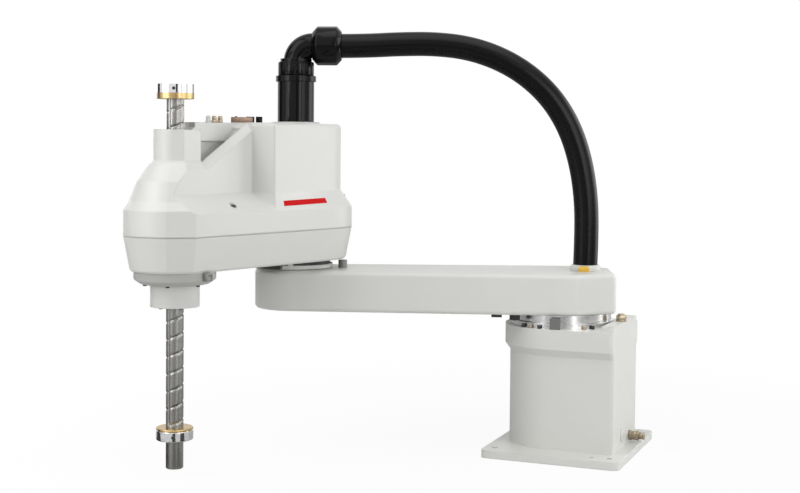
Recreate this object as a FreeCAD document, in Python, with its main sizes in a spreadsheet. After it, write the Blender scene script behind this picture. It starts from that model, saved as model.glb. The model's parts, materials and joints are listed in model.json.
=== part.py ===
import FreeCAD, Part
import math
import os
import re
import Sketcher

# Four-axis SCARA robot, standing on its base plate. Millimetres, +Z up.
# The origin is on the first axis, at the underside of the base plate, and +X is the robot's own front.
# The arms stand turned as in the rest pose: arm 1 by arm_1_turn, and arm 2 by arm_2_turn more.

SIZES = {
    # Reach and rest pose
    "arm_1_length": 425,
    "arm_2_length": 275,
    "arm_1_turn": 20.1,
    "arm_2_turn": 58.2,
    # Base casting
    "plate_thickness": 12,
    "plate_front": 92,
    "plate_rear": 123,
    "plate_half_width": 125,
    "plate_corner": 10,
    "bolt_spacing_x": 180,
    "bolt_spacing_y": 200,
    "bolt_shift": 14,
    "bolt_hole": 4.5,
    "dowel_hole": 3,
    "dowel_x": 78,
    "dowel_y": 104,
    "column_radius": 80,
    "column_rear": 104,
    "base_wall": 9,
    "flare_bottom": 156,
    "flare_height": 11,
    "flare_out": 8,
    "rim_top": 198,
    "rear_rise": 8,
    "rear_box_corner": 6,
    "rear_box_inset": 2.5,
    "base_cavity_top": 138,
    "base_cover_thickness": 3,
    # First joint
    "motor_flange": 8,
    "fit_gap": 0.2,
    "turning_gap": 0.3,
    "j_one_bore": 60,
    "j_one_ring_inset": 6,
    "j_one_ring_height": 8,
    "j_one_gap": 20,
    "j_one_output_step": 4,
    "j_one_motor_side": 80,
    "j_one_motor_length": 84,
    "index_block_width": 16,
    "index_block_depth": 5,
    "index_block_height": 17,
    "index_block_angle": 99,
    "index_block_sink": 0.5,
    "stop_bolt_radius": 7.5,
    "stop_bolt_height": 10,
    "stop_bolt_bevel": 2,
    "stop_circle_gap": 14.5,
    "stop_lug_width": 12,
    "stop_lug_depth": 11,
    "stop_lug_height": 9,
    "stop_lug_angle": 37.5,
    "fitting_radius": 7,
    "fitting_foot": 10,
    "fitting_collar": 5,
    "fitting_collar_out": 1,
    "fitting_tip": 10,
    "fitting_tip_in": 2,
    "fitting_y": 30,
    "fitting_z": 22,
    "plug_radius": 10,
    "plug_height": 31,
    "plug_y": 20,
    "plug_thickness": 2,
    # Arm 1
    "arm_1_thickness": 64,
    "arm_1_tip": 63,
    "arm_1_root": 79,
    "arm_1_root_back": 18,
    "arm_1_end": 81,
    "arm_1_end_half": 46,
    "arm_1_corner": 12,
    "arm_1_top_round": 8,
    "arm_1_low_round": 6,
    "arm_1_wall": 8,
    "arm_1_rib": 8,
    "arm_1_boss": 86,
    "arm_1_cover_thickness": 3,
    "under_block_x": 104,
    "under_block_y": 38,
    "under_block_side": 16,
    "under_block_height": 7,
    # Duct
    "duct_radius": 19.2,
    "duct_base_radius": 24,
    "duct_base_height": 9,
    "duct_base_bevel": 3,
    "duct_base_back": 36.8,
    "clamp_radius": 4,
    "clamp_gap": 0.2,
    "pipe_radius": 29,
    "pipe_bore": 24,
    "pipe_dish_radius": 38,
    "pipe_dish_height": 3,
    "pipe_height": 73,
    "pipe_rim_out": 3,
    "pipe_rim_height": 9,
    "lock_ring_radius": 28.5,
    "lock_ring_height": 22,
    "lock_ring_bevel": 2,
    "elbow_radius": 20,
    "elbow_bend": 26,
    "elbow_socket": 25,
    "elbow_socket_height": 5,
    "nut_radius": 31.5,
    "nut_neck": 23,
    "nut_length": 47,
    "nut_bevel": 8,
    # Second joint
    "j_two_gap": 15,
    "j_two_flange": 60,
    "j_two_flange_height": 7,
    "j_two_body": 46,
    "j_two_body_depth": 40,
    "j_two_output": 56,
    "j_two_motor_side": 78,
    "j_two_motor_length": 112,
    "stop_pin_radius": 7,
    "stop_pin_height": 12,
    "stop_pin_circle": 76.5,
    "elbow_lug_inner": 70,
    "elbow_lug_outer": 82,
    "elbow_lug_angle": 22,
    "elbow_lug_height": 12,
    "zero_block_side": 8,
    "zero_block_height": 13,
    # Arm 2 lower casting
    "case_height": 50,
    "nose_radius": 74,
    "tail_radius": 90,
    "case_draft": 9,
    "case_bevel": 3,
    "case_facet": 34,
    "nose_facet": 66,
    "tail_facet": 86,
    "case_floor": 8,
    "case_wall": 6,
    "gasket_thickness": 1,
    "gasket_inset": 1.5,
    # Arm 2 cover
    "cover_wall": 3,
    "skirt_height": 32,
    "ledge_height": 26,
    "cover_height": 162,
    "tower_radius": 72,
    "tower_side": 76,
    "facet_outer": 145,
    "facet_inner": 154,
    "ridge_half": 40,
    "ridge_wall": 12,
    "ridge_bevel": 11,
    "ridge_reach": 12,
    "ridge_drop": 78,
    "ridge_top_drop": 1,
    "spine_half": 12,
    "spine_recess": 5,
    "spine_recess_drop": 28.5,
    "collar_room": 0.8,
    "valley_back": 205,
    "valley_floor": 97,
    "valley_slope": 12,
    "shoulder_inset": 24,
    "boss_radius": 31.5,
    "boss_back": 22,
    "boss_foot": 106,
    "boss_height": 150,
    "boss_wall": 7,
    "cavity_half": 35,
    "tower_round": 7,
    "ledge_hole": 5,
    "ledge_hole_depth": 9,
    "ledge_hole_side": 60,
    "ledge_hole_front": 220,
    # Quill: the nuts and the shaft on the third axis
    "shaft_radius": 12.5,
    "shaft_bore": 7,
    "shaft_bottom": 12.5,
    "shaft_length": 550,
    "shaft_bevel": 1,
    "spline_groove": 2.4,
    "undercut_width": 2,
    "undercut_depth": 0.8,
    "sliding_gap": 0.05,
    "lower_collar_low": 54.5,
    "collar_height": 25.5,
    "collar_band": 8,
    "collar_radius": 26.5,
    "upper_collar_drop": 21,
    "upper_collar_height": 21,
    "bearing_cover_radius": 59,
    "bearing_cover_height": 20,
    "bearing_cover_cone": 4,
    "bearing_cover_bevel": 2,
    "bearing_cover_bore": 22,
    "cover_block_side": 14,
    "cover_block_step": 2,
    "hub_radius": 35,
    "hub_height": 31,
    "spline_nut_radius": 20,
    "bearing_radius": 38,
    "bearing_height": 20,
    "bearing_wall": 5,
    "bearing_lip": 8,
    "quill_pulley": 34,
    "pulley_height": 16,
    "pulley_lift": 3,
    "belt_thickness": 2,
    "belt_inset": 2,
    "motor_pulley": 12,
    # Bracket, screw nut and motors above it
    "bracket_lift": 2,
    "bracket_thickness": 8,
    "bracket_back": 96,
    "bracket_half": 52,
    "bracket_nose_gap": 18,
    "bracket_bore_room": 4,
    "motor_pulley_room": 2,
    "bracket_boss": 44,
    "bracket_boss_height": 16,
    "post_radius": 5.5,
    "post_gap": 1,
    "screw_nut_radius": 24,
    "screw_nut_step": 4,
    "screw_bearing_radius": 40,
    "screw_pulley": 32,
    "screw_nut_length": 86,
    "screw_pulley_lift": 66,
    "j_four_motor_back": 70,
    "j_four_motor_side": 40,
    "j_four_motor_length": 56,
    "j_three_motor_back": 125,
    "j_three_motor_side": 58,
    "motor_shaft": 5,
    "motor_shaft_free": 2,
    # Fittings on top of the cover
    "air_fitting_radius": 4,
    "air_fitting_height": 8,
    "air_fitting_x": 180,
    "air_fitting_step": 13,
    "connector_x": 134,
    "connector_length": 30,
    "connector_width": 18,
    "connector_height": 7,
    "cap_x": 104,
    "cap_radius": 5,
}

doc = FreeCAD.newDocument("scara_robot")
sheet = doc.addObject("Spreadsheet::Sheet", "Sizes")
for row, (alias, number) in enumerate(SIZES.items(), start=1):
    sheet.set("A%d" % row, alias)
    sheet.set("B%d" % row, str(number))
    sheet.setAlias("B%d" % row, alias)
doc.recompute()

parts = {}


def linked(text):
    """Expression text with each size's name turned into a reference to the sheet."""
    return re.sub(r"[a-z]\w+", lambda word: "Sizes." + word[0] if word[0] in SIZES else word[0], str(text))


def value(text):
    """The number that an expression gives."""
    return float(sheet.evalExpression(linked(text)))


def bind(thing, name, text):
    thing.setExpression(name, linked(text))


# Levels above the mounting plane
RIM_TOP = "rim_top"
REAR_TOP = "(rim_top + rear_rise)"
RING_TOP = "(rim_top + j_one_ring_height)"
ARM_1_LOW = "(rim_top + j_one_gap)"
ARM_1_TOP = "(rim_top + j_one_gap + arm_1_thickness)"
ARM_2_LOW = "(rim_top + j_one_gap + arm_1_thickness + j_two_gap)"
FLOOR = "(%s + case_floor)" % ARM_2_LOW
SEAM = "(%s + case_height)" % ARM_2_LOW
SKIRT_LOW = "(%s + gasket_thickness)" % SEAM
SKIRT_TOP = "(%s + skirt_height)" % SKIRT_LOW
LEDGE_TOP = "(%s + ledge_height)" % SKIRT_TOP
COVER_TOP = "(%s + cover_height)" % SKIRT_LOW
BOSS_TOP = "(%s + boss_height)" % SKIRT_LOW
BRACKET_LOW = "(%s + bracket_lift)" % SKIRT_LOW
BRACKET_TOP = "(%s + bracket_thickness)" % BRACKET_LOW
PIPE_LOW = "(%s + pipe_dish_height)" % COVER_TOP
PIPE_TOP = "(%s + pipe_height)" % PIPE_LOW
LOCK_TOP = "(%s + turning_gap + lock_ring_height)" % PIPE_TOP
DUCT_END = "(%s + elbow_bend)" % LOCK_TOP
SHAFT_TOP = "(shaft_bottom + shaft_length)"

# Radii and places that follow other sizes
J_ONE_RING = "(column_radius + flare_out - j_one_ring_inset)"
J_ONE_OUTPUT = "(column_radius + flare_out - j_one_ring_inset - j_one_output_step)"
STOP_CIRCLE = "(column_radius + flare_out - j_one_ring_inset + stop_circle_gap)"
MOTOR_4 = "(arm_2_length - j_four_motor_back)"
MOTOR_3 = "(arm_2_length - j_three_motor_back)"
BOSS_REAR = "(arm_2_length - boss_back)"

# Frames of the bodies: where the local origin stands, and how far the local +X is turned
TURNED_2 = "(arm_1_turn + arm_2_turn)"
FRAMES = {
    "base": ("0", "0", "0"),
    "arm_1": ("0", "0", "arm_1_turn"),
    "arm_2": ("arm_1_length * cos(arm_1_turn * 1deg)", "arm_1_length * sin(arm_1_turn * 1deg)", TURNED_2),
}


def placed(piece, frame, dx="0", dy="0"):
    """Stand a piece in a frame, shifted by dx and dy in that frame's own directions."""
    x, y, turn = FRAMES[frame]
    piece.Placement = FreeCAD.Placement(FreeCAD.Vector(), FreeCAD.Rotation(FreeCAD.Vector(0, 0, 1), 1))
    cosine = "cos(%s * 1deg)" % turn
    sine = "sin(%s * 1deg)" % turn
    bind(piece, "Placement.Base.x", "%s + (%s) * %s - (%s) * %s" % (x, dx, cosine, dy, sine))
    bind(piece, "Placement.Base.y", "%s + (%s) * %s + (%s) * %s" % (y, dx, sine, dy, cosine))
    bind(piece, "Placement.Rotation.Angle", "%s * 1deg" % turn)


def new_body(name, frame, dx="0", dy="0"):
    piece = doc.addObject("PartDesign::Body", name)
    piece.Label = name
    placed(piece, frame, dx, dy)
    parts[name] = piece
    return piece


def plane(piece, role):
    return next(feature for feature in piece.Origin.OriginFeatures if feature.Role == role)


def corner(text_pair):
    return FreeCAD.Vector(value(text_pair[0]), value(text_pair[1]), 0)


def add_loop(sketch, points):
    """A closed outline. A point is (x, y), or (x, y, centre x, centre y) where an arc leaves it anticlockwise."""
    first = sketch.GeometryCount
    count = len(points)
    for i, point in enumerate(points):
        here = corner(point)
        there = corner(points[(i + 1) % count])
        if len(point) == 4:
            centre = corner(point[2:])
            start = math.atan2(here.y - centre.y, here.x - centre.x)
            end = math.atan2(there.y - centre.y, there.x - centre.x)
            circle = Part.Circle(centre, FreeCAD.Vector(0, 0, 1), (here - centre).Length)
            sketch.addGeometry(Part.ArcOfCircle(circle, start, end if end > start else end + 2 * math.pi), False)
        else:
            sketch.addGeometry(Part.LineSegment(here, there), False)
    for i in range(count):
        sketch.addConstraint(Sketcher.Constraint("Coincident", first + i, 2, first + (i + 1) % count, 1))
    for i, point in enumerate(points):
        fix_point(sketch, first + i, 1, point)
        if len(point) == 4:
            fix_point(sketch, first + i, 3, point[2:], ("DistanceX",))


def fix_point(sketch, geometry, vertex, point, kinds=("DistanceX", "DistanceY")):
    for kind, text in zip(kinds, point):
        number = sketch.addConstraint(Sketcher.Constraint(kind, geometry, vertex, value(text)))
        bind(sketch, "Constraints[%d]" % number, text)


def add_circle(sketch, x, y, radius):
    circle = Part.Circle(corner((x, y)), FreeCAD.Vector(0, 0, 1), value(radius))
    geometry = sketch.addGeometry(circle, False)
    fix_point(sketch, geometry, 3, (x, y))
    number = sketch.addConstraint(Sketcher.Constraint("Radius", geometry, value(radius)))
    bind(sketch, "Constraints[%d]" % number, radius)


def new_sketch(piece, role, lift, loops=(), circles=()):
    """A sketch on one of the body's own planes, lifted along the plane's normal."""
    sketch = piece.newObject("Sketcher::SketchObject", piece.Label + "_sketch")
    sketch.AttachmentSupport = [(plane(piece, role), "")]
    sketch.MapMode = "FlatFace"
    bind(sketch, "AttachmentOffset.Base.z", lift)
    for loop in loops:
        add_loop(sketch, loop)
    for circle in circles:
        add_circle(sketch, *circle)
    return sketch


def pad(piece, length, low="0", loops=(), circles=(), role="XY_Plane", both=False):
    feature = piece.newObject("PartDesign::Pad", piece.Label + "_pad")
    feature.Profile = new_sketch(piece, role, low, loops, circles)
    feature.Midplane = both
    bind(feature, "Length", length)
    return feature


def pocket(piece, depth, top, loops=(), circles=(), role="XY_Plane", both=False):
    """Cut downwards from the level top, or both ways from the plane."""
    doc.recompute()
    before = piece.Shape.Volume
    feature = piece.newObject("PartDesign::Pocket", piece.Label + "_pocket")
    feature.Profile = new_sketch(piece, role, top, loops, circles)
    feature.Midplane = both
    bind(feature, "Length", depth)
    doc.recompute()
    if piece.Shape.Volume > before - 1:
        raise RuntimeError("a pocket in %s cuts nothing" % piece.Label)
    return feature


def revolve(piece, profile, cut=False):
    """Turn a profile of radius and height about the body's own Z axis."""
    kind = "PartDesign::Groove" if cut else "PartDesign::Revolution"
    feature = piece.newObject(kind, piece.Label + "_turned")
    sketch = new_sketch(piece, "XZ_Plane", "0", [profile])
    feature.Profile = sketch
    feature.ReferenceAxis = (sketch, ["V_Axis"])
    feature.Angle = 360
    return feature


def loft(piece, low, low_loop, high, high_loop, role="XY_Plane"):
    feature = piece.newObject("PartDesign::AdditiveLoft", piece.Label + "_loft")
    feature.Profile = new_sketch(piece, role, low, [low_loop])
    feature.Sections = [new_sketch(piece, role, high, [high_loop])]
    feature.Ruled = True
    return feature


def rounded(piece, radius, wanted):
    """Fillet the edges of the body for which wanted(edge) is true."""
    doc.recompute()
    base = piece.Tip
    names = ["Edge%d" % (i + 1) for i, edge in enumerate(base.Shape.Edges) if wanted(edge)]
    if not names:
        raise RuntimeError("no edge to round on %s" % piece.Label)
    feature = piece.newObject("PartDesign::Fillet", piece.Label + "_fillet")
    feature.Base = (base, names)
    bind(feature, "Radius", radius)
    return feature


TOUCH = 0.01  # two places closer than this count as one


def is_upright(edge):
    box = edge.BoundBox
    return box.ZLength > 1 and box.XLength < TOUCH and box.YLength < TOUCH


def is_level(edge, height):
    box = edge.BoundBox
    return box.ZLength < TOUCH and abs(box.ZMin - height) < TOUCH


def ring(name, frame, inner, outer, low, high, dx="0", dy="0"):
    """A plain turned ring, or a disc where inner is 0."""
    piece = new_body(name, frame, dx, dy)
    revolve(piece, [(inner, low), (outer, low), (outer, high), (inner, high)])
    return piece


def rectangle(x_low, x_high, y_low, y_high):
    return [(x_low, y_low), (x_high, y_low), (x_high, y_high), (x_low, y_high)]


def centred(x, half_x, y, half_y):
    return rectangle("%s - (%s)" % (x, half_x), "%s + %s" % (x, half_x),
                     "%s - (%s)" % (y, half_y), "%s + %s" % (y, half_y))


def mirrored(points):
    """A closed loop from its +Y half, listed from the front to the back, as (x, y)."""
    return [(x, "-(%s)" % y) for x, y in reversed(points)] + list(points)


def with_nose(points, centre_x):
    """A mirrored loop whose front is an arc about centre_x, between its first points."""
    loop = mirrored(points)
    x, y = loop[len(points) - 1]
    loop[len(points) - 1] = (x, y, centre_x, "0")
    return loop


def with_tail(loop, centre_x):
    x, y = loop[-1][:2]
    return loop[:-1] + [(x, y, centre_x, "0")]


def polar(centre_x, radius, angle):
    """A point on a circle on the X axis, at an angle from +X."""
    return ("%s + (%s) * cos(%s * 1deg)" % (centre_x, radius, angle), "(%s) * sin(%s * 1deg)" % (radius, angle))


def motor(name, frame, x, side, low, high, flange_at_low):
    """A servo motor: a square body with bevelled edges, and its square flange at one end."""
    piece = new_body(name, frame, x)
    half = "%s / 2" % side
    slim = "%s / 2 - 2" % side
    pad(piece, "(%s) - (%s)" % (high, low), low, [centred("0", slim, "0", slim)])
    flange = low if flange_at_low else "%s - motor_flange" % high
    pad(piece, "motor_flange", flange, [centred("0", half, "0", half)])
    return piece


def belt(name, x, motor_radius, quill_radius, low):
    """A closed belt round the motor's pulley at x and the pulley on the quill's axis."""
    piece = new_body(name, "arm_2")
    height = "pulley_height - 2 * belt_inset"
    for extra, cutting in (("turning_gap + belt_thickness", False), ("turning_gap", True)):
        small = "(%s + %s)" % (motor_radius, extra)
        large = "(%s + %s)" % (quill_radius, extra)
        lean = "acos((%s - %s) / (arm_2_length - %s)) / 1deg" % (large, small, x)
        front = ("arm_2_length - %s * cos(%s * 1deg)" % (large, lean), "%s * sin(%s * 1deg)" % (large, lean))
        back = ("%s - %s * cos(%s * 1deg)" % (x, small, lean), "%s * sin(%s * 1deg)" % (small, lean))
        loop = with_tail(with_nose([front, back], "arm_2_length"), x)
        if cutting:
            pocket(piece, height, "%s + %s" % (low, height), [loop])
        else:
            pad(piece, height, low, [loop])
    return piece


def make_base():
    base = new_body("base_casting", "base")
    pad(base, "plate_thickness", "0", [rectangle("-plate_rear", "plate_front", "-plate_half_width", "plate_half_width")])
    rounded(base, "plate_corner", is_upright)
    for low, high, first, last in (
        ("plate_thickness", "flare_bottom", "0", "0"),
        ("flare_bottom", "flare_bottom + flare_height", "0", "flare_out"),
        ("flare_bottom + flare_height", RIM_TOP, "flare_out", "flare_out"),
    ):
        loft(base, low, column_outline(first), high, column_outline(last))
    front = "-(%s + rear_box_inset)" % J_ONE_RING
    rear = [(front, "-column_radius"), (front, "column_radius")] + rear_wall("column_radius", "column_rear")
    pad(base, "rear_rise + 1", "%s - 1" % RIM_TOP, [rear])
    pocket(base, "base_cavity_top", "base_cavity_top", [cavity_outline("base_wall")])
    pocket(base, "%s - base_cavity_top + 1" % RIM_TOP, RIM_TOP, circles=[("0", "0", "j_one_bore")])
    holes = [("%s * bolt_spacing_x / 2 - bolt_shift" % i, "%s * bolt_spacing_y / 2" % j, "bolt_hole")
             for i in (-1, 1) for j in (-1, 1)]
    pocket(base, "plate_thickness", "plate_thickness", circles=holes + [("-dowel_x", "dowel_y", "dowel_hole")])

    cover = new_body("base_bottom_cover", "base")
    pad(cover, "base_cover_thickness", "0", [cavity_outline("(base_wall + turning_gap)")])

    reducer = new_body("j1_reducer", "base")
    inner = "j_one_bore - fit_gap"
    low = "base_cavity_top + 2"
    revolve(reducer, [("0", low), (inner, low), (inner, RIM_TOP), (J_ONE_RING, RIM_TOP), (J_ONE_RING, RING_TOP),
                      ("0", RING_TOP)])
    motor("j1_motor", "base", "0", "j_one_motor_side", "%s - j_one_motor_length" % low, low, False)

    block = new_body("j1_index_block", "base")
    out = "column_radius + flare_out"
    side = centred("%s - index_block_depth / 2 - index_block_sink" % out, "index_block_depth / 2",
                   "0", "index_block_width / 2")
    pad(block, "index_block_height", RIM_TOP, [side])
    bind(block, "Placement.Rotation.Angle", "index_block_angle * 1deg")

    bolt = new_body("j1_stop_bolt", "base", "-%s" % STOP_CIRCLE)
    top = "%s + stop_bolt_height" % REAR_TOP
    revolve(bolt, [("0", REAR_TOP), ("stop_bolt_radius", REAR_TOP), ("stop_bolt_radius", "%s - stop_bolt_bevel" % top),
                   ("stop_bolt_radius - stop_bolt_bevel", top), ("0", top)])

    fitting = new_body("rear_brass_fitting", "base")
    for start, length, radius in (
        ("0", "fitting_foot", "fitting_radius"),
        ("fitting_foot", "fitting_collar", "fitting_radius + fitting_collar_out"),
        ("fitting_foot + fitting_collar", "fitting_tip", "fitting_radius - fitting_tip_in"),
    ):
        pad(fitting, length, "-column_rear - (%s) - (%s)" % (start, length),
            circles=[("-fitting_y", "fitting_z", radius)], role="YZ_Plane")
    plug = new_body("rear_plug", "base")
    pad(plug, "plug_thickness", "-column_rear - plug_thickness", circles=[("plug_y", "plug_height", "plug_radius")],
        role="YZ_Plane")


def column_outline(out):
    """The column in plan: a half round front and a flat rear, grown outwards by out."""
    side = "(column_radius + %s)" % out
    return [("0", "-%s" % side, "0", "0"), ("0", side)] + rear_wall(side, "column_rear")


def cavity_outline(wall):
    """The inside of the column in plan, at a wall's distance from its outside."""
    side = "(column_radius - %s)" % wall
    return [("0", "-%s" % side, "0", "0"), ("0", side)] + rear_wall(side, "(column_rear - %s)" % wall)


def rear_wall(side, rear):
    """The three sides of the rear wall, with its two corners rounded, from +Y to -Y."""
    start = "-%s + rear_box_corner" % rear
    level = "%s - rear_box_corner" % side
    return [(start, side, start, level), ("-%s" % rear, level), ("-%s" % rear, "-(%s)" % level, start, "-(%s)" % level),
            (start, "-%s" % side)]


def arm_1_outline(inset):
    """Arm 1 in plan: a round tip, straight sides that widen to the root, and a blunt faceted end."""
    tip = "(arm_1_tip - %s)" % inset
    return [
        polar("arm_1_length", tip, "88"),
        ("-arm_1_root_back", "arm_1_root - %s" % inset),
        ("-(arm_1_end - %s)" % inset, "arm_1_end_half - %s * 0.6" % inset),
    ]


def make_arm_1():
    arm = new_body("arm_1_casting", "arm_1")
    pad(arm, "arm_1_thickness", ARM_1_LOW, [with_nose(arm_1_outline("0"), "arm_1_length")])
    rounded(arm, "arm_1_corner", lambda edge: is_upright(edge) and edge.BoundBox.XMin < 0)
    rounded(arm, "arm_1_top_round", lambda edge: is_level(edge, value(ARM_1_TOP)))
    rounded(arm, "arm_1_low_round", lambda edge: is_level(edge, value(ARM_1_LOW)))
    span = "(arm_1_length - arm_1_boss - arm_1_tip)"
    taper = "(arm_1_root - arm_1_tip) / (arm_1_length + arm_1_root_back)"
    cells = []
    for i in range(3):
        start = "(arm_1_boss + %s * %d / 3 + %s)" % (span, i, "0" if i == 0 else "arm_1_rib / 2")
        end = "(arm_1_boss + %s * %d / 3 - %s)" % (span, i + 1, "0" if i == 2 else "arm_1_rib / 2")
        half = "(arm_1_root - (%s + arm_1_root_back) * %s - 2 * arm_1_wall)" % (end, taper)
        cells.append(rectangle(start, end, "-%s" % half, half))
    depth = "arm_1_thickness - arm_1_wall - arm_1_cover_thickness"
    pocket(arm, depth, "%s + arm_1_cover_thickness + %s" % (ARM_1_LOW, depth), cells)
    lid_half = "(arm_1_tip - arm_1_wall)"
    lid = rectangle("arm_1_boss - arm_1_wall / 2", "arm_1_length - arm_1_tip + arm_1_wall / 2",
                    "-%s" % lid_half, lid_half)
    pocket(arm, "arm_1_cover_thickness", "%s + arm_1_cover_thickness" % ARM_1_LOW, [lid])
    pocket(arm, "j_two_body_depth", ARM_1_TOP, circles=[("arm_1_length", "0", "j_two_body")])

    cover = new_body("arm_1_bottom_cover", "arm_1")
    gap = "turning_gap"
    lid = rectangle("arm_1_boss - arm_1_wall / 2 + %s" % gap, "arm_1_length - arm_1_tip + arm_1_wall / 2 - %s" % gap,
                    "%s - %s" % (gap, lid_half), "%s - %s" % (lid_half, gap))
    pad(cover, "arm_1_cover_thickness", ARM_1_LOW, [lid])

    ring("j1_output_flange", "arm_1", "0", J_ONE_OUTPUT, "%s + turning_gap" % RING_TOP, ARM_1_LOW)

    lugs = new_body("arm_1_stop_lugs", "arm_1")
    loops = []
    for sign in (-1, 1):
        turn = "%d * stop_lug_angle" % sign
        loops.append([turned_point(turn, "%s + %s" % (STOP_CIRCLE, along), across) for along, across in (
            ("-stop_lug_depth / 2", "-stop_lug_width / 2"), ("stop_lug_depth / 2", "-stop_lug_width / 2"),
            ("stop_lug_depth / 2", "stop_lug_width / 2"), ("-stop_lug_depth / 2", "stop_lug_width / 2"))])
    pad(lugs, "stop_lug_height", "%s - stop_lug_height" % ARM_1_LOW, loops)

    block = new_body("arm_1_index_block", "arm_1")
    pad(block, "under_block_height", "%s - under_block_height" % ARM_1_LOW,
        [centred("under_block_x", "under_block_side / 2", "under_block_y", "under_block_side / 2")])

    reducer = new_body("j2_reducer", "arm_1", "arm_1_length")
    low = "%s - j_two_body_depth" % ARM_1_TOP
    inner = "j_two_body - fit_gap"
    top = "%s + j_two_flange_height" % ARM_1_TOP
    revolve(reducer, [("0", low), (inner, low), (inner, ARM_1_TOP), ("j_two_flange - arm_1_top_round", ARM_1_TOP),
                      ("j_two_flange", "%s + 1" % ARM_1_TOP), ("j_two_flange", top), ("0", top)])
    ring("j2_stop_pin", "arm_1", "0", "stop_pin_radius", ARM_1_TOP, "%s + stop_pin_height" % ARM_1_TOP,
         "arm_1_length - stop_pin_circle")
    zero = new_body("j2_zero_block", "arm_1", "arm_1_length")
    pad(zero, "zero_block_height - j_two_flange_height", "%s + j_two_flange_height" % ARM_1_TOP,
        [centred("0", "zero_block_side / 2", "j_two_flange - zero_block_side / 4 + turning_gap",
                 "zero_block_side / 4")])


def turned_point(angle, along, across):
    """A point of the plan given along and across a direction at an angle from +X."""
    cosine = "cos(%s * 1deg)" % angle
    sine = "sin(%s * 1deg)" % angle
    return ("(%s) * %s - (%s) * %s" % (along, cosine, across, sine),
            "(%s) * %s + (%s) * %s" % (along, sine, across, cosine))


# The duct's route in the plane of arm 1, from its base ring to the gland nut: distance from the
# first axis and height. It is a run of straight stretches joined by tangent arcs.
DUCT_ROUTE = [
    (-36.8, 291), (-37.5, 345), (-34, 400), (-24, 455), (-6, 507), (20.5, 551),
    (56, 588), (100, 616), (151, 633.5), (205, 640), (260, 639.5), (312, 636), (352, 634.3),
]


def rounded_path(points):
    """Edges of straight runs joined by tangent arcs, each as large as its two runs allow."""
    edges = []
    last = points[0]
    for before, here, after in zip(points, points[1:], points[2:]):
        run_in = here - before
        run_out = after - here
        half_turn = run_in.getAngle(run_out) / 2
        cut = 0.45 * min(run_in.Length, run_out.Length)
        radius = cut / math.tan(half_turn)
        print("duct arc radius %.0f mm" % radius)
        start = here - run_in.normalize() * cut
        end = here + run_out.normalize() * cut
        inwards = (start + end) * 0.5 - here
        sagitta = radius / math.cos(half_turn) - radius
        middle = here + inwards.normalize() * sagitta
        edges.append(Part.LineSegment(last, start).toShape())
        edges.append(Part.Arc(start, middle, end).toShape())
        last = end
    edges.append(Part.LineSegment(last, points[-1]).toShape())
    return edges


def make_duct():
    base = new_body("duct_base", "arm_1", "-duct_base_back")
    top = "%s + duct_base_height" % ARM_1_TOP
    revolve(base, [("0", ARM_1_TOP), ("duct_base_radius", ARM_1_TOP), ("duct_base_radius", "%s - duct_base_bevel" % top),
                   ("duct_base_radius - duct_base_bevel", top), ("0", top)])
    ring("duct_clamp", "arm_1", "0", "clamp_radius", ARM_1_TOP, "%s + duct_base_height + clamp_radius" % ARM_1_TOP,
         "-duct_base_back", "duct_base_radius + clamp_radius + clamp_gap")

    # The route's ends follow the base ring and the gland nut when a size changes.
    first = FreeCAD.Vector(-value("duct_base_back"), 0, value(top))
    nut_face = value("arm_1_length - elbow_bend - nut_length")
    route = [first] + [FreeCAD.Vector(x, 0, z) for x, z in DUCT_ROUTE[1:-1]]
    route.append(FreeCAD.Vector(nut_face, 0, value(DUCT_END)))
    edges = rounded_path(route)
    start = edges[0].tangentAt(edges[0].FirstParameter)
    circle = Part.makeCircle(value("duct_radius"), first, start)
    tube = Part.Wire(edges).makePipeShell([Part.Wire([circle])], True, False)
    duct = doc.addObject("Part::Feature", "duct")
    duct.Label = "duct"
    duct.Shape = tube
    length = sum(edge.Length for edge in edges)
    share = tube.Volume / (math.pi * value("duct_radius") ** 2 * length)
    print("duct length %.0f mm, volume against section times length %.4f" % (length, share))
    placed(duct, "arm_1")
    parts["duct"] = duct

    elbow = new_body("duct_elbow", "arm_1", "arm_1_length")
    bend = elbow.newObject("PartDesign::Revolution", "elbow_bend")
    section = new_sketch(elbow, "XY_Plane", LOCK_TOP, circles=[("0", "0", "elbow_radius")])
    centre = corner(("-elbow_bend", "0"))
    reach = FreeCAD.Vector(0, value("elbow_radius") / 2, 0)
    axis = section.addGeometry(Part.LineSegment(centre - reach, centre + reach), True)
    section.addConstraint(Sketcher.Constraint("Vertical", axis))
    fix_point(section, axis, 1, ("-elbow_bend", "-elbow_bend"))
    bend.Profile = section
    bend.ReferenceAxis = (section, ["Axis0"])
    bend.Angle = 90
    bend.Reversed = True
    pad(elbow, "elbow_socket_height", LOCK_TOP, circles=[("0", "0", "elbow_socket")])

    nut = new_body("gland_nut", "arm_1", "arm_1_length")
    steps = [("nut_neck", "0"), ("nut_radius", "nut_bevel"), ("nut_radius", "nut_length - nut_bevel"),
             ("nut_neck", "nut_length")]
    outline = [("-elbow_bend - (%s)" % along, radius) for radius, along in steps]
    along_arm(nut, [("-elbow_bend - nut_length", "0"), ("-elbow_bend", "0")] + outline)

    lock = new_body("lock_ring", "arm_1", "arm_1_length")
    low = "(%s + turning_gap)" % PIPE_TOP
    revolve(lock, [("0", low), ("lock_ring_radius", low), ("lock_ring_radius", "%s - lock_ring_bevel" % LOCK_TOP),
                   ("lock_ring_radius - lock_ring_bevel", LOCK_TOP), ("0", LOCK_TOP)])


def along_arm(piece, profile):
    """Turn a profile of distance and radius about the level line at the height of the duct's end."""
    feature = piece.newObject("PartDesign::Revolution", piece.Label + "_turned")
    sketch = new_sketch(piece, "XY_Plane", DUCT_END, [profile])
    feature.Profile = sketch
    feature.ReferenceAxis = (sketch, ["H_Axis"])
    feature.Angle = 360


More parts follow.
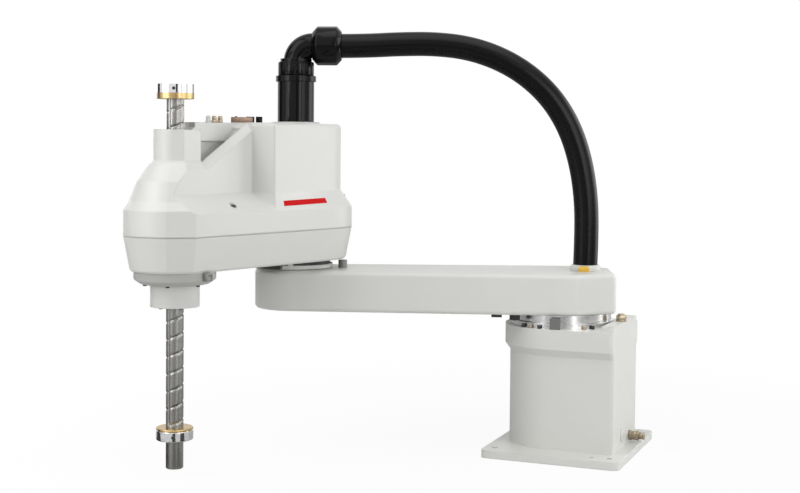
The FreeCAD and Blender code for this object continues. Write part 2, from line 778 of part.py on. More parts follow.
def case_outline(inset):
    """The lower casting in plan: a round nose between two flat facets, straight sides and a round tail."""
    nose = "(nose_radius - %s)" % inset
    tail = "(tail_radius - %s)" % inset
    half = [polar("arm_2_length", nose, "case_facet"), polar("arm_2_length", nose, "nose_facet"),
            polar("0", tail, "tail_facet")]
    return with_tail(with_nose(half, "arm_2_length"), "0")


def skirt_outline(inset):
    """The cover's skirt in plan, with a corner on each side where the tower's facet will start and end."""
    return with_tail(with_nose(skirt_half(inset), "arm_2_length"), "0")


def skirt_half(inset):
    radius = "(nose_radius - %s)" % inset
    nose = polar("arm_2_length", radius, "nose_facet")
    tail = polar("0", "(tail_radius - %s)" % inset, "tail_facet")
    slope = "((%s) - (%s)) / ((%s) - (%s))" % (tail[1], nose[1], nose[0], tail[0])
    side = [(x, "(%s) - (%s - (%s)) * %s" % (tail[1], x, tail[0], slope)) for x in ("facet_inner", "facet_outer")]
    return [polar("arm_2_length", radius, "case_facet"), nose] + side + [tail]


def upper_half(inset):
    """The cover above its ledge, as a half outline: narrow nose part, facet and tower."""
    return [
        polar("arm_2_length", "(nose_radius - shoulder_inset)", "case_facet"),
        ("arm_2_length + nose_radius * cos(nose_facet * 1deg)", "ridge_half - %s" % inset),
        ("facet_inner - %s" % inset, "ridge_half - %s" % inset),
        ("facet_outer - %s" % inset, "tower_side - %s" % inset),
        polar("0", "(tower_radius - %s)" % inset, "tail_facet"),
    ]


# The nose's shoulder, from the skirt's top up to the boss: share of the height, and share of the way in
SHOULDER = [(0, 0), (0.06, 0), (0.23, 0.19), (0.61, 0.45), (0.93, 0.86), (1, 1)]


def shoulder_section(share_up, share_in):
    """Level and plan of the nose at one step of its shoulder: an arc between two facets, and a flat back."""
    level = "(%s + (boss_foot - skirt_height) * %g)" % (SKIRT_TOP, share_up)
    radius = "(nose_radius - (nose_radius - boss_radius) * %g)" % share_in
    side = polar("arm_2_length", radius, "nose_facet")
    half = [polar("arm_2_length", radius, "case_facet"), side, (BOSS_REAR, side[1])]
    return level, with_nose(half, "arm_2_length")


def make_arm_2_case():
    case = new_body("arm_2_casting", "arm_2")
    bevel_top = "%s + case_bevel" % ARM_2_LOW
    loft(case, ARM_2_LOW, case_outline("(case_draft + case_bevel)"), bevel_top, case_outline("case_draft"))
    loft(case, bevel_top, case_outline("case_draft"), SEAM, case_outline("0"))
    pocket(case, "case_height - case_floor", SEAM, [case_outline("(case_draft + case_wall)")])
    boss = [("arm_2_length", "0", "bearing_radius + bearing_wall")]
    pad(case, "bearing_height", FLOOR, circles=boss)
    pocket(case, "bearing_height", "%s + bearing_height" % FLOOR, circles=[("arm_2_length", "0", "bearing_radius")])
    pocket(case, "case_floor", FLOOR, circles=[("arm_2_length", "0", "bearing_radius - bearing_lip")])
    pocket(case, "case_floor", FLOOR, circles=[("0", "0", "j_two_body / 2")])

    gasket = new_body("cover_gasket", "arm_2")
    pad(gasket, "gasket_thickness", SEAM, [case_outline("gasket_inset")])
    pocket(gasket, "gasket_thickness", "%s + gasket_thickness" % SEAM, [case_outline("(case_draft + case_wall)")])

    ring("j2_output_flange", "arm_2", "0", "j_two_output", "%s + j_two_flange_height + turning_gap" % ARM_1_TOP,
         ARM_2_LOW)
    lug = new_body("arm_2_stop_lug", "arm_2")
    inner = [polar("0", "elbow_lug_inner", angle) for angle in ("-elbow_lug_angle", "elbow_lug_angle")]
    outer = [polar("0", "elbow_lug_outer", angle) for angle in ("-elbow_lug_angle", "elbow_lug_angle")]
    pad(lug, "elbow_lug_height", "%s - elbow_lug_height" % ARM_2_LOW,
        [[inner[0], outer[0] + ("0", "0"), outer[1], inner[1]]])
    motor("j2_motor", "arm_2", "0", "j_two_motor_side", FLOOR, "%s + j_two_motor_length" % FLOOR, True)


def make_cover():
    cover = new_body("arm_2_cover", "arm_2")
    make_nose(cover)
    pad(cover, "skirt_height", SKIRT_LOW, [skirt_outline("0")])
    upper = with_tail(with_nose(upper_half("0"), "arm_2_length"), "0")
    loft(cover, SKIRT_TOP, skirt_outline("0"), LEDGE_TOP, upper)
    tower = with_tail(mirrored(upper_half("0")[2:]), "0")
    pad(cover, "%s - %s" % (COVER_TOP, LEDGE_TOP), LEDGE_TOP, [tower])
    rounded(cover, "tower_round", lambda edge: is_level(edge, value(COVER_TOP)))
    make_ridge(cover)
    hollow_cover(cover)
    holes = [("ledge_hole_front", "%d * ledge_hole_side" % sign, "ledge_hole") for sign in (-1, 1)]
    pocket(cover, "ledge_height / 2 + ledge_hole_depth", LEDGE_TOP, circles=holes)

    ring("shaft_wiper", "arm_2", "shaft_radius + turning_gap", "boss_radius - boss_wall - turning_gap",
         "%s - boss_wall + turning_gap" % BOSS_TOP, BOSS_TOP, "arm_2_length")
    ring("pipe_dish", "arm_2", "pipe_bore", "pipe_dish_radius", COVER_TOP, PIPE_LOW)
    pipe = new_body("duct_pipe", "arm_2")
    rim = "%s - pipe_rim_height" % PIPE_TOP
    revolve(pipe, [("pipe_bore", PIPE_LOW), ("pipe_radius", PIPE_LOW), ("pipe_radius", rim),
                   ("pipe_radius + pipe_rim_out", rim), ("pipe_radius + pipe_rim_out", PIPE_TOP),
                   ("pipe_bore", PIPE_TOP)])


def make_nose(cover):
    """The faceted shoulder and the boss round the shaft, trimmed on both sides by the ledge's slope."""
    sections = [shoulder_section(*step) for step in SHOULDER]
    for (low, low_loop), (high, high_loop) in zip(sections, sections[1:]):
        loft(cover, low, low_loop, high, high_loop)
    pad(cover, "boss_height - boss_foot", sections[-1][0], [sections[-1][1]])
    out = "(nose_radius + cover_wall)"
    side = "nose_radius * sin(nose_facet * 1deg)"
    half = [(out, COVER_TOP), ("ridge_half", COVER_TOP), ("ridge_half", LEDGE_TOP), (side, SKIRT_TOP),
            (out, SKIRT_TOP)]
    loops = [half, [("-(%s)" % y, height) for y, height in reversed(half)]]
    pocket(cover, "%s + boss_back + cover_wall" % out, "arm_2_length + %s" % out, loops, role="YZ_Plane")


def make_ridge(cover):
    """The sloping ridge from the tower to the nose, hollowed to two bars with the spine between them."""
    start = "(facet_inner - ridge_top_drop)"
    high = "(%s - ridge_top_drop)" % COVER_TOP
    loft(cover, start, ridge_section(high), "arm_2_length + ridge_reach",
         ridge_section("(%s - ridge_drop)" % COVER_TOP), role="YZ_Plane")
    floor = "(%s + valley_floor)" % SKIRT_LOW
    steep = "facet_inner + valley_slope"
    valley = [("valley_back", floor), (BOSS_REAR, floor), (BOSS_REAR, COVER_TOP), (steep, COVER_TOP),
              (steep, "%s - valley_slope" % COVER_TOP)]
    pocket(cover, "2 * (ridge_half - ridge_wall)", "0", [valley], role="XZ_Plane", both=True)
    recess_top = "(%s - spine_recess_drop)" % COVER_TOP
    buried = "(%s - cover_wall)" % floor
    inside = "(%s + cover_wall)" % BOSS_REAR
    pad(cover, "2 * (spine_half - spine_recess)", "0", [rectangle(start, inside, buried, recess_top)],
        role="XZ_Plane", both=True)
    front = "(arm_2_length - collar_radius - collar_room)"
    upper = [(start, recess_top), (inside, recess_top), (inside, BOSS_TOP),
             (front, "%s + cover_wall + collar_room" % BOSS_TOP), (front, high), (start, high)]
    pad(cover, "2 * spine_half", "0", [upper], role="XZ_Plane", both=True)


def ridge_section(top):
    """The ridge across, from the ledge up to a level top between two bevels."""
    shoulder = "(%s - ridge_bevel)" % top
    half = [("ridge_half - ridge_bevel", top), ("ridge_half", shoulder), ("ridge_half", LEDGE_TOP)]
    return half + [("-(%s)" % y, height) for y, height in reversed(half)]


def hollow_cover(cover):
    """Take out the inside of the cover: the skirt, the tower, and a run to the nose for pulley and belt."""
    pocket(cover, "skirt_height", "%s + skirt_height" % SKIRT_LOW, [skirt_outline("cover_wall * 2")])
    tower = with_tail(mirrored(upper_half("cover_wall")[2:]), "0")
    pocket(cover, "cover_height - cover_wall", "%s - cover_wall" % COVER_TOP, [tower])
    deep = "(valley_floor - cover_wall)"
    top = "%s + %s" % (SKIRT_LOW, deep)
    pocket(cover, deep, top, [rectangle("facet_outer - cover_wall", "arm_2_length", "-cavity_half", "cavity_half")])
    pocket(cover, deep, top, circles=[("arm_2_length", "0", "cavity_half + turning_gap")])
    pocket(cover, "boss_height", BOSS_TOP, circles=[("arm_2_length", "0", "(boss_radius - boss_wall)")])
    pocket(cover, "2 * cover_wall", COVER_TOP, circles=[("0", "0", "pipe_bore")])


def make_quill():
    shaft = new_body("spline_shaft", "arm_2", "arm_2_length")
    undercut = "shaft_radius - undercut_depth"
    revolve(shaft, [("shaft_bore", "shaft_bottom"), ("shaft_radius - shaft_bevel", "shaft_bottom"),
                    ("shaft_radius", "shaft_bottom + shaft_bevel"), ("shaft_radius", "lower_collar_low - undercut_width"),
                    (undercut, "lower_collar_low - undercut_width"), (undercut, "lower_collar_low"),
                    ("shaft_radius", "lower_collar_low"), ("shaft_radius", "%s - shaft_bevel" % SHAFT_TOP),
                    ("shaft_radius - shaft_bevel", SHAFT_TOP), ("shaft_bore", SHAFT_TOP)])
    grooves = [turned_point("%d * 120" % i, "shaft_radius + spline_groove / 3", "0") + ("spline_groove",)
               for i in range(3)]
    groove_low = "(lower_collar_low + collar_height)"
    pocket(shaft, "%s - %s" % (SHAFT_TOP, groove_low), SHAFT_TOP, circles=grooves)

    bore = "shaft_radius + sliding_gap"
    low = "lower_collar_low"
    band = "(lower_collar_low + collar_height - collar_band)"
    ring("lower_collar", "arm_2", bore, "collar_radius", low, band, "arm_2_length")
    ring("lower_collar_band", "arm_2", bore, "collar_radius", band, "lower_collar_low + collar_height", "arm_2_length")
    low = "(%s - upper_collar_drop)" % SHAFT_TOP
    band = "(%s - upper_collar_drop + collar_band)" % SHAFT_TOP
    ring("upper_collar_band", "arm_2", bore, "collar_radius", low, band, "arm_2_length")
    ring("upper_collar", "arm_2", bore, "collar_radius", band, "%s + upper_collar_height" % low, "arm_2_length")

    low = "(%s - bearing_cover_height)" % ARM_2_LOW
    top = "bearing_cover_radius"
    cover = new_body("bearing_cover", "arm_2", "arm_2_length")
    revolve(cover, [("bearing_cover_bore", low), ("%s - bearing_cover_cone - bearing_cover_bevel" % top, low),
                    ("%s - bearing_cover_cone" % top, "%s + bearing_cover_bevel" % low), (top, ARM_2_LOW),
                    ("bearing_cover_bore", ARM_2_LOW)])
    block = new_body("bearing_cover_block", "arm_2", "arm_2_length")
    pad(block, "cover_block_side - cover_block_step", "%s - cover_block_side + cover_block_step" % ARM_2_LOW,
        [centred("0", "cover_block_side / 2", "bearing_cover_radius + cover_block_side / 4 + turning_gap",
                 "cover_block_side / 4")])

    hub = "(%s - turning_gap)" % low
    nut_low = "(%s - hub_height)" % hub
    ring("turning_hub", "arm_2", "spline_nut_radius + fit_gap / 2", "hub_radius", nut_low, hub, "arm_2_length")
    pulley_low = "(%s + bearing_height + pulley_lift)" % FLOOR
    nut_top = "(%s + pulley_height + 1)" % pulley_low
    ring("spline_nut", "arm_2", bore, "spline_nut_radius", nut_low, nut_top, "arm_2_length")
    ring("spline_bearing", "arm_2", "spline_nut_radius + turning_gap", "bearing_radius - fit_gap / 2", FLOOR,
         "%s + bearing_height" % FLOOR, "arm_2_length")
    make_pulley("j4_pulley", "quill_pulley", "spline_nut_radius + fit_gap / 2", pulley_low, "arm_2_length")
    motor_pulley = make_pulley("j4_motor_pulley", "motor_pulley", "0", pulley_low, MOTOR_4)
    pulley_top = "(%s + pulley_height)" % pulley_low
    pad(motor_pulley, "%s - turning_gap - %s" % (BRACKET_TOP, pulley_top), pulley_top,
        circles=[("0", "0", "motor_shaft")])
    belt("j4_belt", MOTOR_4, "motor_pulley", "quill_pulley", "%s + belt_inset" % pulley_low)


def make_pulley(name, radius, bore, low, x):
    """A belt pulley with a low flange at each end."""
    piece = new_body(name, "arm_2", x)
    out = "%s + belt_thickness / 2" % radius
    high = "%s + pulley_height" % low
    near = "belt_inset - turning_gap"
    revolve(piece, [(bore, low), (out, low), (out, "%s + %s" % (low, near)), (radius, "%s + %s" % (low, near)),
                    (radius, "%s - (%s)" % (high, near)), (out, "%s - (%s)" % (high, near)), (out, high), (bore, high)])
    return piece


def make_bracket():
    bracket = new_body("nut_bracket", "arm_2")
    half = [polar("arm_2_length", "nose_radius - bracket_nose_gap", "nose_facet"), ("bracket_back", "bracket_half")]
    pad(bracket, "bracket_thickness", BRACKET_LOW, [with_nose(half, "arm_2_length")])
    pad(bracket, "bracket_boss_height", BRACKET_TOP, circles=[("arm_2_length", "0", "bracket_boss")])
    front = polar("arm_2_length", "(bearing_radius + bearing_wall + post_radius + post_gap)", "45")
    places = [("bracket_back + 2 * post_radius", "bracket_half - 2 * post_radius"),
              ("arm_2_length - bracket_half + post_radius", "bracket_half - post_radius"), front]
    posts = [(x, "%d * (%s)" % (sign, y), "post_radius") for x, y in places for sign in (1, -1)]
    pad(bracket, "%s - %s" % (BRACKET_LOW, FLOOR), FLOOR, circles=posts)
    pocket(bracket, "bracket_boss_height", "%s + bracket_boss_height" % BRACKET_TOP,
           circles=[("arm_2_length", "0", "screw_bearing_radius")])
    pocket(bracket, "bracket_thickness", BRACKET_TOP,
           circles=[("arm_2_length", "0", "screw_nut_radius + bracket_bore_room"),
                    (MOTOR_4, "0", "motor_pulley + motor_pulley_room")])

    nut_low = "(%s + turning_gap)" % BRACKET_TOP
    nut_top = "(%s + screw_nut_length)" % nut_low
    ring("screw_bearing", "arm_2", "screw_nut_radius + turning_gap", "screw_bearing_radius - fit_gap / 2",
         BRACKET_TOP, "%s + bracket_boss_height" % BRACKET_TOP, "arm_2_length")
    pulley_low = "(%s + screw_pulley_lift)" % BRACKET_TOP
    nut = new_body("screw_nut", "arm_2", "arm_2_length")
    bore = "shaft_radius + turning_gap"
    revolve(nut, [(bore, nut_low), ("screw_nut_radius", nut_low), ("screw_nut_radius", pulley_low),
                  ("screw_nut_radius - screw_nut_step", pulley_low),
                  ("screw_nut_radius - screw_nut_step", nut_top), (bore, nut_top)])
    make_pulley("j3_pulley", "screw_pulley", "screw_nut_radius - screw_nut_step + fit_gap / 2", pulley_low, "arm_2_length")
    motor_pulley = make_pulley("j3_motor_pulley", "motor_pulley", "0", pulley_low, MOTOR_3)
    pad(motor_pulley, "motor_shaft_free - turning_gap", "%s - motor_shaft_free + turning_gap" % pulley_low,
        circles=[("0", "0", "motor_shaft")])
    belt("j3_belt", MOTOR_3, "motor_pulley", "screw_pulley", "%s + belt_inset" % pulley_low)
    motor("j3_motor", "arm_2", MOTOR_3, "j_three_motor_side", BRACKET_TOP,
          "%s - motor_shaft_free" % pulley_low, False)
    motor("j4_motor", "arm_2", MOTOR_4, "j_four_motor_side", BRACKET_TOP,
          "%s + j_four_motor_length" % BRACKET_TOP, True)


def make_fittings():
    fittings = new_body("air_fittings", "arm_2")
    circles = [("air_fitting_x + %d * air_fitting_step" % i, "0", "air_fitting_radius") for i in range(3)]
    top = "(%s - 1)" % COVER_TOP
    pad(fittings, "air_fitting_height", top, circles=circles)
    connector = new_body("tool_connector", "arm_2")
    pad(connector, "connector_height", COVER_TOP,
        [centred("connector_x", "connector_length / 2", "0", "connector_width / 2")])
    caps = new_body("port_caps", "arm_2")
    circles = [("cap_x", "%d * (cap_radius + 3)" % sign, "cap_radius") for sign in (-1, 1)]
    pad(caps, "air_fitting_height", COVER_TOP, circles=circles)


def export_parts():
    doc.recompute()
    failed = [thing.Name for thing in doc.Objects if {"Invalid", "Error"} & set(thing.State)]
    if failed:
        raise RuntimeError("failed objects: %s" % ", ".join(failed))
    os.makedirs("parts", exist_ok=True)
    faces = 0
    for name, piece in parts.items():
        if piece.Shape.isNull() or not piece.Shape.isValid() or piece.Shape.Volume <= 0:
            raise RuntimeError("%s has no valid shape" % name)
        piece.Shape.exportStep(os.path.join("parts", name + ".step"))
        faces += len(piece.Shape.Faces)
    print("%d sub-parts, %d faces" % (len(parts), faces))


make_base()
make_arm_1()
make_duct()
make_arm_2_case()
make_cover()
make_quill()
make_bracket()
make_fittings()
export_parts()
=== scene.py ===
import json
import math
import bpy
import bmesh
from mathutils import Matrix, Vector


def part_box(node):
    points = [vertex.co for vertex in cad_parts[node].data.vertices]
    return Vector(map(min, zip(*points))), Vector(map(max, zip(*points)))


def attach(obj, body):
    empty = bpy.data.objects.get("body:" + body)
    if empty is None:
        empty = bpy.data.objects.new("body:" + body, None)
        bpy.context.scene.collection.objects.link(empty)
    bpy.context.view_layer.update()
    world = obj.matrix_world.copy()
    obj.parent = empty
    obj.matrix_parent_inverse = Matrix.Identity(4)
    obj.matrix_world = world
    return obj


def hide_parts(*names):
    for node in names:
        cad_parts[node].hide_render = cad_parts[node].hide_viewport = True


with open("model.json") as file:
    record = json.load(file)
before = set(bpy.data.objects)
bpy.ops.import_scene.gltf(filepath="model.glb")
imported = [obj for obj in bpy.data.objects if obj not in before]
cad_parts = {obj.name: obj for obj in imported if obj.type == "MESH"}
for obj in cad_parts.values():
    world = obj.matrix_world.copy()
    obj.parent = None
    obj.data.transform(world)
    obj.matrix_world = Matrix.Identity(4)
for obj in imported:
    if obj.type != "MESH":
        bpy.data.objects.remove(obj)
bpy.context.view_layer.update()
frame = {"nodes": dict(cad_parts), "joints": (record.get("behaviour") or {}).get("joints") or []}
nodes = frame["nodes"]
print("frame loaded,", len(nodes), "nodes")

# where the three joint axes stand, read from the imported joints
jointAt = {joint["name"]: joint["pos_m"] for joint in frame["joints"] if "pos_m" in joint}
elbowAt = Vector(jointAt["j2_elbow_turn"][:2] + [0])
toolAt = Vector(jointAt["j4_tool_turn"][:2] + [0])
armOneTurn = math.atan2(elbowAt.y, elbowAt.x)
armTwoTurn = math.atan2(toolAt.y - elbowAt.y, toolAt.x - elbowAt.x)
armOnePlace = Matrix.Rotation(armOneTurn, 4, "Z")
armTwoPlace = Matrix.Translation(elbowAt) @ Matrix.Rotation(armTwoTurn, 4, "Z")
toolPlace = Matrix.Translation(toolAt) @ Matrix.Rotation(armTwoTurn, 4, "Z")

# camera: solved from the base plate, the joint axes and the duct
photoCamera = {
    "place": (-0.57219, 2.07456, 0.484),
    "turn": (88.140, -0.460, -157.683),
    "lens": 60.75,
    "sensor": 36,
    "shift": -0.0769,
    "reach": 50,
}


def makeCamera(settings):
    bpy.ops.object.camera_add(location=settings["place"])
    camera = bpy.context.object
    camera.name = "photoCamera"
    camera.rotation_euler = [math.radians(angle) for angle in settings["turn"]]
    camera.data.lens = settings["lens"]
    camera.data.sensor_width = settings["sensor"]
    camera.data.shift_y = settings["shift"]
    camera.data.clip_end = settings["reach"]
    bpy.context.scene.camera = camera


makeCamera(photoCamera)

# studio: lamps and dark cards stand round the object, each at an angle to the right of the camera's direction
studio = {
    "middle": (0.2, 0.1, 0.35),
    "lamps": {  # angle, distance, height, size, power
        "leftHigh": (-60, 1.7, 1.9, (1.2, 1.2), 11),
        "leftNear": (-56, 1.05, 0.55, (0.4, 0.6), 1.7),
        "leftStrip": (-44, 2.5, 0.8, (0.3, 1.8), 5),
        "rightStrip": (28, 2.6, 0.65, (0.36, 1.9), 12),
        "rightNear": (50, 1.35, 0.75, (0.6, 0.9), 4.4),
        "rightBack": (108, 2.1, 0.8, (1.4, 1.6), 19),
        "leftBack": (-135, 2.3, 0.9, (1.2, 1.4), 1.2),
        "topSoft": (15, 0.6, 2.2, (1.8, 1.6), 15.5),
    },
    "cards": {  # angle, width
        "cardMiddle": (6, 0.34),
        "cardRight": (57, 0.5),
        "cardLeft": (-104, 0.8),
    },
    "cardStand": (1.9, 0.9, 2.2),  # distance, height of its middle, its own height
    "cardFoot": (0.55, 0.28, 0.0005),  # distance from the tool axis, share of the card's width, height
    "cardTone": 0.01,
    "ambient": 0.17,
    "floorTone": (0.76, 0.76, 0.755),
    "floorSize": 14,
    "floorLevel": -0.0005,
    "fade": (0.15, 1.1, 0.93),  # where the floor's own shade starts and ends, and how white it is at the start
}


def standAt(angle, distance, height):
    middle = Vector(studio["middle"])
    toCamera = Vector(photoCamera["place"]) - middle
    toCamera.z = 0
    way = Matrix.Rotation(math.radians(angle), 4, "Z") @ toCamera.normalized()
    return middle + way * distance + Vector((0, 0, height - middle.z))


def makeLamps(settings):
    for name, (angle, distance, height, size, power) in settings["lamps"].items():
        place = standAt(angle, distance, height)
        bpy.ops.object.light_add(type="AREA", location=place)
        lamp = bpy.context.object
        lamp.name = name
        lamp.data.shape = "RECTANGLE"
        lamp.data.size, lamp.data.size_y = size
        lamp.data.energy = power
        lamp.rotation_euler = (Vector(settings["middle"]) - place).to_track_quat("-Z", "Y").to_euler()


def makeCards(settings):
    felt = bpy.data.materials.new("blackFelt")
    felt.use_nodes = True
    shader = felt.node_tree.nodes["Principled BSDF"]
    shader.inputs["Base Color"].default_value = (*(settings["cardTone"],) * 3, 1)
    shader.inputs["Roughness"].default_value = 1
    distance, level, height = settings["cardStand"]
    footReach, footShare, footLevel = settings["cardFoot"]
    for name, (angle, width) in settings["cards"].items():
        place = standAt(angle, distance, level)
        bpy.ops.mesh.primitive_plane_add(size=1, location=place)
        card = bpy.context.object
        card.name = name
        card.scale = (width, height, 1)
        inward = Vector(settings["middle"]) - place
        inward.z = 0
        card.rotation_euler = inward.to_track_quat("Z", "Y").to_euler()
        footAt = toolAt - inward.normalized() * footReach + Vector((0, 0, footLevel))
        bpy.ops.mesh.primitive_plane_add(size=1, location=footAt)
        foot = bpy.context.object
        foot.name = name + "Foot"
        foot.scale = (width * footShare, 1, 1)
        foot.rotation_euler.z = math.atan2(inward.y, inward.x) + math.pi / 2
        for dark in (card, foot):  # they only darken what the metal reflects
            dark.data.materials.append(felt)
            dark.visible_camera = False
            dark.visible_diffuse = False
            dark.visible_shadow = False
            dark.visible_transmission = False


def addNode(tree, kind, values=()):
    node = tree.nodes.new("ShaderNode" + kind)
    for key, value in dict(values).items():
        node.inputs[key].default_value = value
    return node


def makeWorld(settings):
    world = bpy.data.worlds.new("whiteSurround")
    bpy.context.scene.world = world
    world.use_nodes = True
    tree = world.node_tree
    surround = tree.nodes["Background"]
    surround.inputs["Color"].default_value = (1, 1, 1, 1)
    # seen directly, in a reflection or through something clear, the surround is white
    rays = addNode(tree, "LightPath")
    seen = rays.outputs["Is Camera Ray"]
    for kind in ("Is Glossy Ray", "Is Transmission Ray"):
        either = addNode(tree, "Math")
        either.operation = "MAXIMUM"
        tree.links.new(seen, either.inputs[0])
        tree.links.new(rays.outputs[kind], either.inputs[1])
        seen = either.outputs[0]
    level = addNode(tree, "MapRange", {"To Min": settings["ambient"], "To Max": 1.0})
    tree.links.new(seen, level.inputs["Value"])
    tree.links.new(level.outputs["Result"], surround.inputs["Strength"])


def makeFloor(settings):
    bpy.ops.object.select_all(action="DESELECT")
    bpy.ops.mesh.primitive_plane_add(size=settings["floorSize"], location=(0, 0, settings["floorLevel"]))
    floor = bpy.context.object
    floor.name = "studioFloor"
    paper = bpy.data.materials.new("studioPaper")
    paper.use_nodes = True
    tree = paper.node_tree
    shader = tree.nodes["Principled BSDF"]
    shader.inputs["Base Color"].default_value = (*settings["floorTone"], 1)
    shader.inputs["Roughness"].default_value = 0.9
    shader.inputs["Specular IOR Level"].default_value = 0.1
    # seen directly the paper is white, and it shows its own shade only close to the object
    start, end, white = settings["fade"]
    rays = addNode(tree, "LightPath")
    glow = addNode(tree, "Emission", {"Strength": 1.0, "Color": (1, 1, 1, 1)})
    place = addNode(tree, "TexCoord")
    reach = addNode(tree, "VectorMath")
    reach.operation = "LENGTH"
    fade = addNode(tree, "MapRange", {"From Min": start, "From Max": end, "To Min": white, "To Max": 1.0})
    fade.interpolation_type = "SMOOTHSTEP"
    share = addNode(tree, "Math")
    share.operation = "MULTIPLY"
    blend = addNode(tree, "MixShader")
    tree.links.new(place.outputs["Object"], reach.inputs[0])
    tree.links.new(reach.outputs["Value"], fade.inputs["Value"])
    tree.links.new(rays.outputs["Is Camera Ray"], share.inputs[0])
    tree.links.new(fade.outputs["Result"], share.inputs[1])
    tree.links.new(share.outputs[0], blend.inputs["Fac"])
    tree.links.new(shader.outputs["BSDF"], blend.inputs[1])
    tree.links.new(glow.outputs[0], blend.inputs[2])
    tree.links.new(blend.outputs[0], tree.nodes["Material Output"].inputs["Surface"])
    floor.data.materials.append(paper)


makeLamps(studio)
makeCards(studio)
makeWorld(studio)
makeFloor(studio)
print("camera and studio ready")

# finishes: colour in linear values, and how strong and how fine the surface's own marks are
finishes = {
    "paintedCasting": {"tone": (0.685, 0.69, 0.66), "rough": 0.42, "spread": 0.025, "grain": 1100, "bump": 0.10,
                       "edge": 0.0022, "coat": 0.12},
    # a darker copy of the casting paint, painted shade for the bearing dish under arm 2's nose
    "dullCasting": {"tone": (0.46, 0.465, 0.44), "rough": 0.45, "spread": 0.03, "grain": 1100, "bump": 0.10,
                    "edge": 0.0015},
    "mouldedCover": {"tone": (0.69, 0.69, 0.668), "rough": 0.38, "spread": 0.018, "grain": 2200, "bump": 0.06,
                     "edge": 0.0034, "coat": 0.08},
    "paleRing": {"tone": (0.66, 0.66, 0.64), "rough": 0.45, "spread": 0.03, "grain": 900, "bump": 0.06,
                 "edge": 0.001},
    "turnedSteel": {"tone": (0.70, 0.70, 0.70), "metal": 1, "rough": 0.2, "spread": 0.05, "grain": 900,
                    "bump": 0.05, "edge": 0.0006, "turned": True},
    "bearingSteel": {"tone": (0.42, 0.42, 0.44), "metal": 1, "rough": 0.3, "spread": 0.05, "grain": 900,
                     "bump": 0.05, "edge": 0.0006, "turned": True},
    "shaftSteel": {"tone": (0.30, 0.295, 0.28), "metal": 1, "rough": 0.36, "spread": 0.07, "grain": 1200,
                   "bump": 0.05, "edge": 0.0004, "turned": True},
    "darkSteel": {"tone": (0.045, 0.045, 0.048), "metal": 0.5, "rough": 0.42, "spread": 0.1, "grain": 1200,
                  "bump": 0.08, "edge": 0.0006},
    "brightChrome": {"tone": (0.72, 0.72, 0.73), "metal": 1, "rough": 0.09, "spread": 0.01, "grain": 900,
                     "bump": 0.01, "edge": 0.0009},
    "satinBrass": {"tone": (0.52, 0.37, 0.17), "metal": 1, "rough": 0.3, "spread": 0.07, "grain": 900,
                   "bump": 0.05, "edge": 0.0006, "turned": True},
    "yellowPaint": {"tone": (0.80, 0.50, 0.06), "rough": 0.35, "spread": 0.05, "grain": 1500, "bump": 0.05,
                    "edge": 0.0008},
    "dullBrass": {"tone": (0.36, 0.30, 0.21), "metal": 0.85, "rough": 0.36, "spread": 0.1, "grain": 1100,
                  "bump": 0.08, "edge": 0.0006},
    "sensorGrey": {"tone": (0.24, 0.24, 0.235), "metal": 0.3, "rough": 0.45, "spread": 0.08, "grain": 1200,
                   "bump": 0.08, "edge": 0.0006},
    "dullCopper": {"tone": (0.25, 0.17, 0.12), "metal": 0.7, "rough": 0.4, "spread": 0.1, "grain": 1200,
                   "bump": 0.08, "edge": 0.0006},
    "machinedAluminium": {"tone": (0.6, 0.6, 0.62), "metal": 1, "rough": 0.35, "spread": 0.05, "grain": 900,
                          "bump": 0.06, "edge": 0.0006, "turned": True},
    "blackPlastic": {"tone": (0.004, 0.004, 0.0043), "rough": 0.15, "spread": 0.15, "grain": 1500, "bump": 0.02,
                     "edge": 0.0014, "specular": 0.15},
    "greyPlastic": {"tone": (0.36, 0.36, 0.38), "rough": 0.45, "spread": 0.05, "grain": 1500, "bump": 0.06,
                    "edge": 0.001},
    "conduitBlack": {"tone": (0.004, 0.004, 0.0043), "rough": 0.27, "spread": 0.15, "grain": 900, "bump": 0.03,
                     "edge": 0.0, "specular": 0.15},
    "motorBlack": {"tone": (0.02, 0.02, 0.022), "rough": 0.5, "spread": 0.1, "grain": 900, "bump": 0.1,
                   "edge": 0.001},
    "sealRubber": {"tone": (0.16, 0.16, 0.155), "rough": 0.7, "spread": 0.1, "grain": 900, "bump": 0.1,
                   "edge": 0.0005},
    "redBar": {"tone": (0.60, 0.002, 0.004), "rough": 0.6, "spread": 0.03, "grain": 1600, "bump": 0.03,
               "edge": 0.0003, "specular": 0.12},
}

# what the marks of all the finishes share; wear is how much the roughness varies
marks = {
    "patchScale": 14, "patchDetail": 5, "wear": 0.14,
    "grainDetail": 2, "latheSqueeze": (0.06, 0.06, 2.2),
    "bumpDepth": 0.0003, "edgeSamples": 6, "coatRough": 0.15,
}


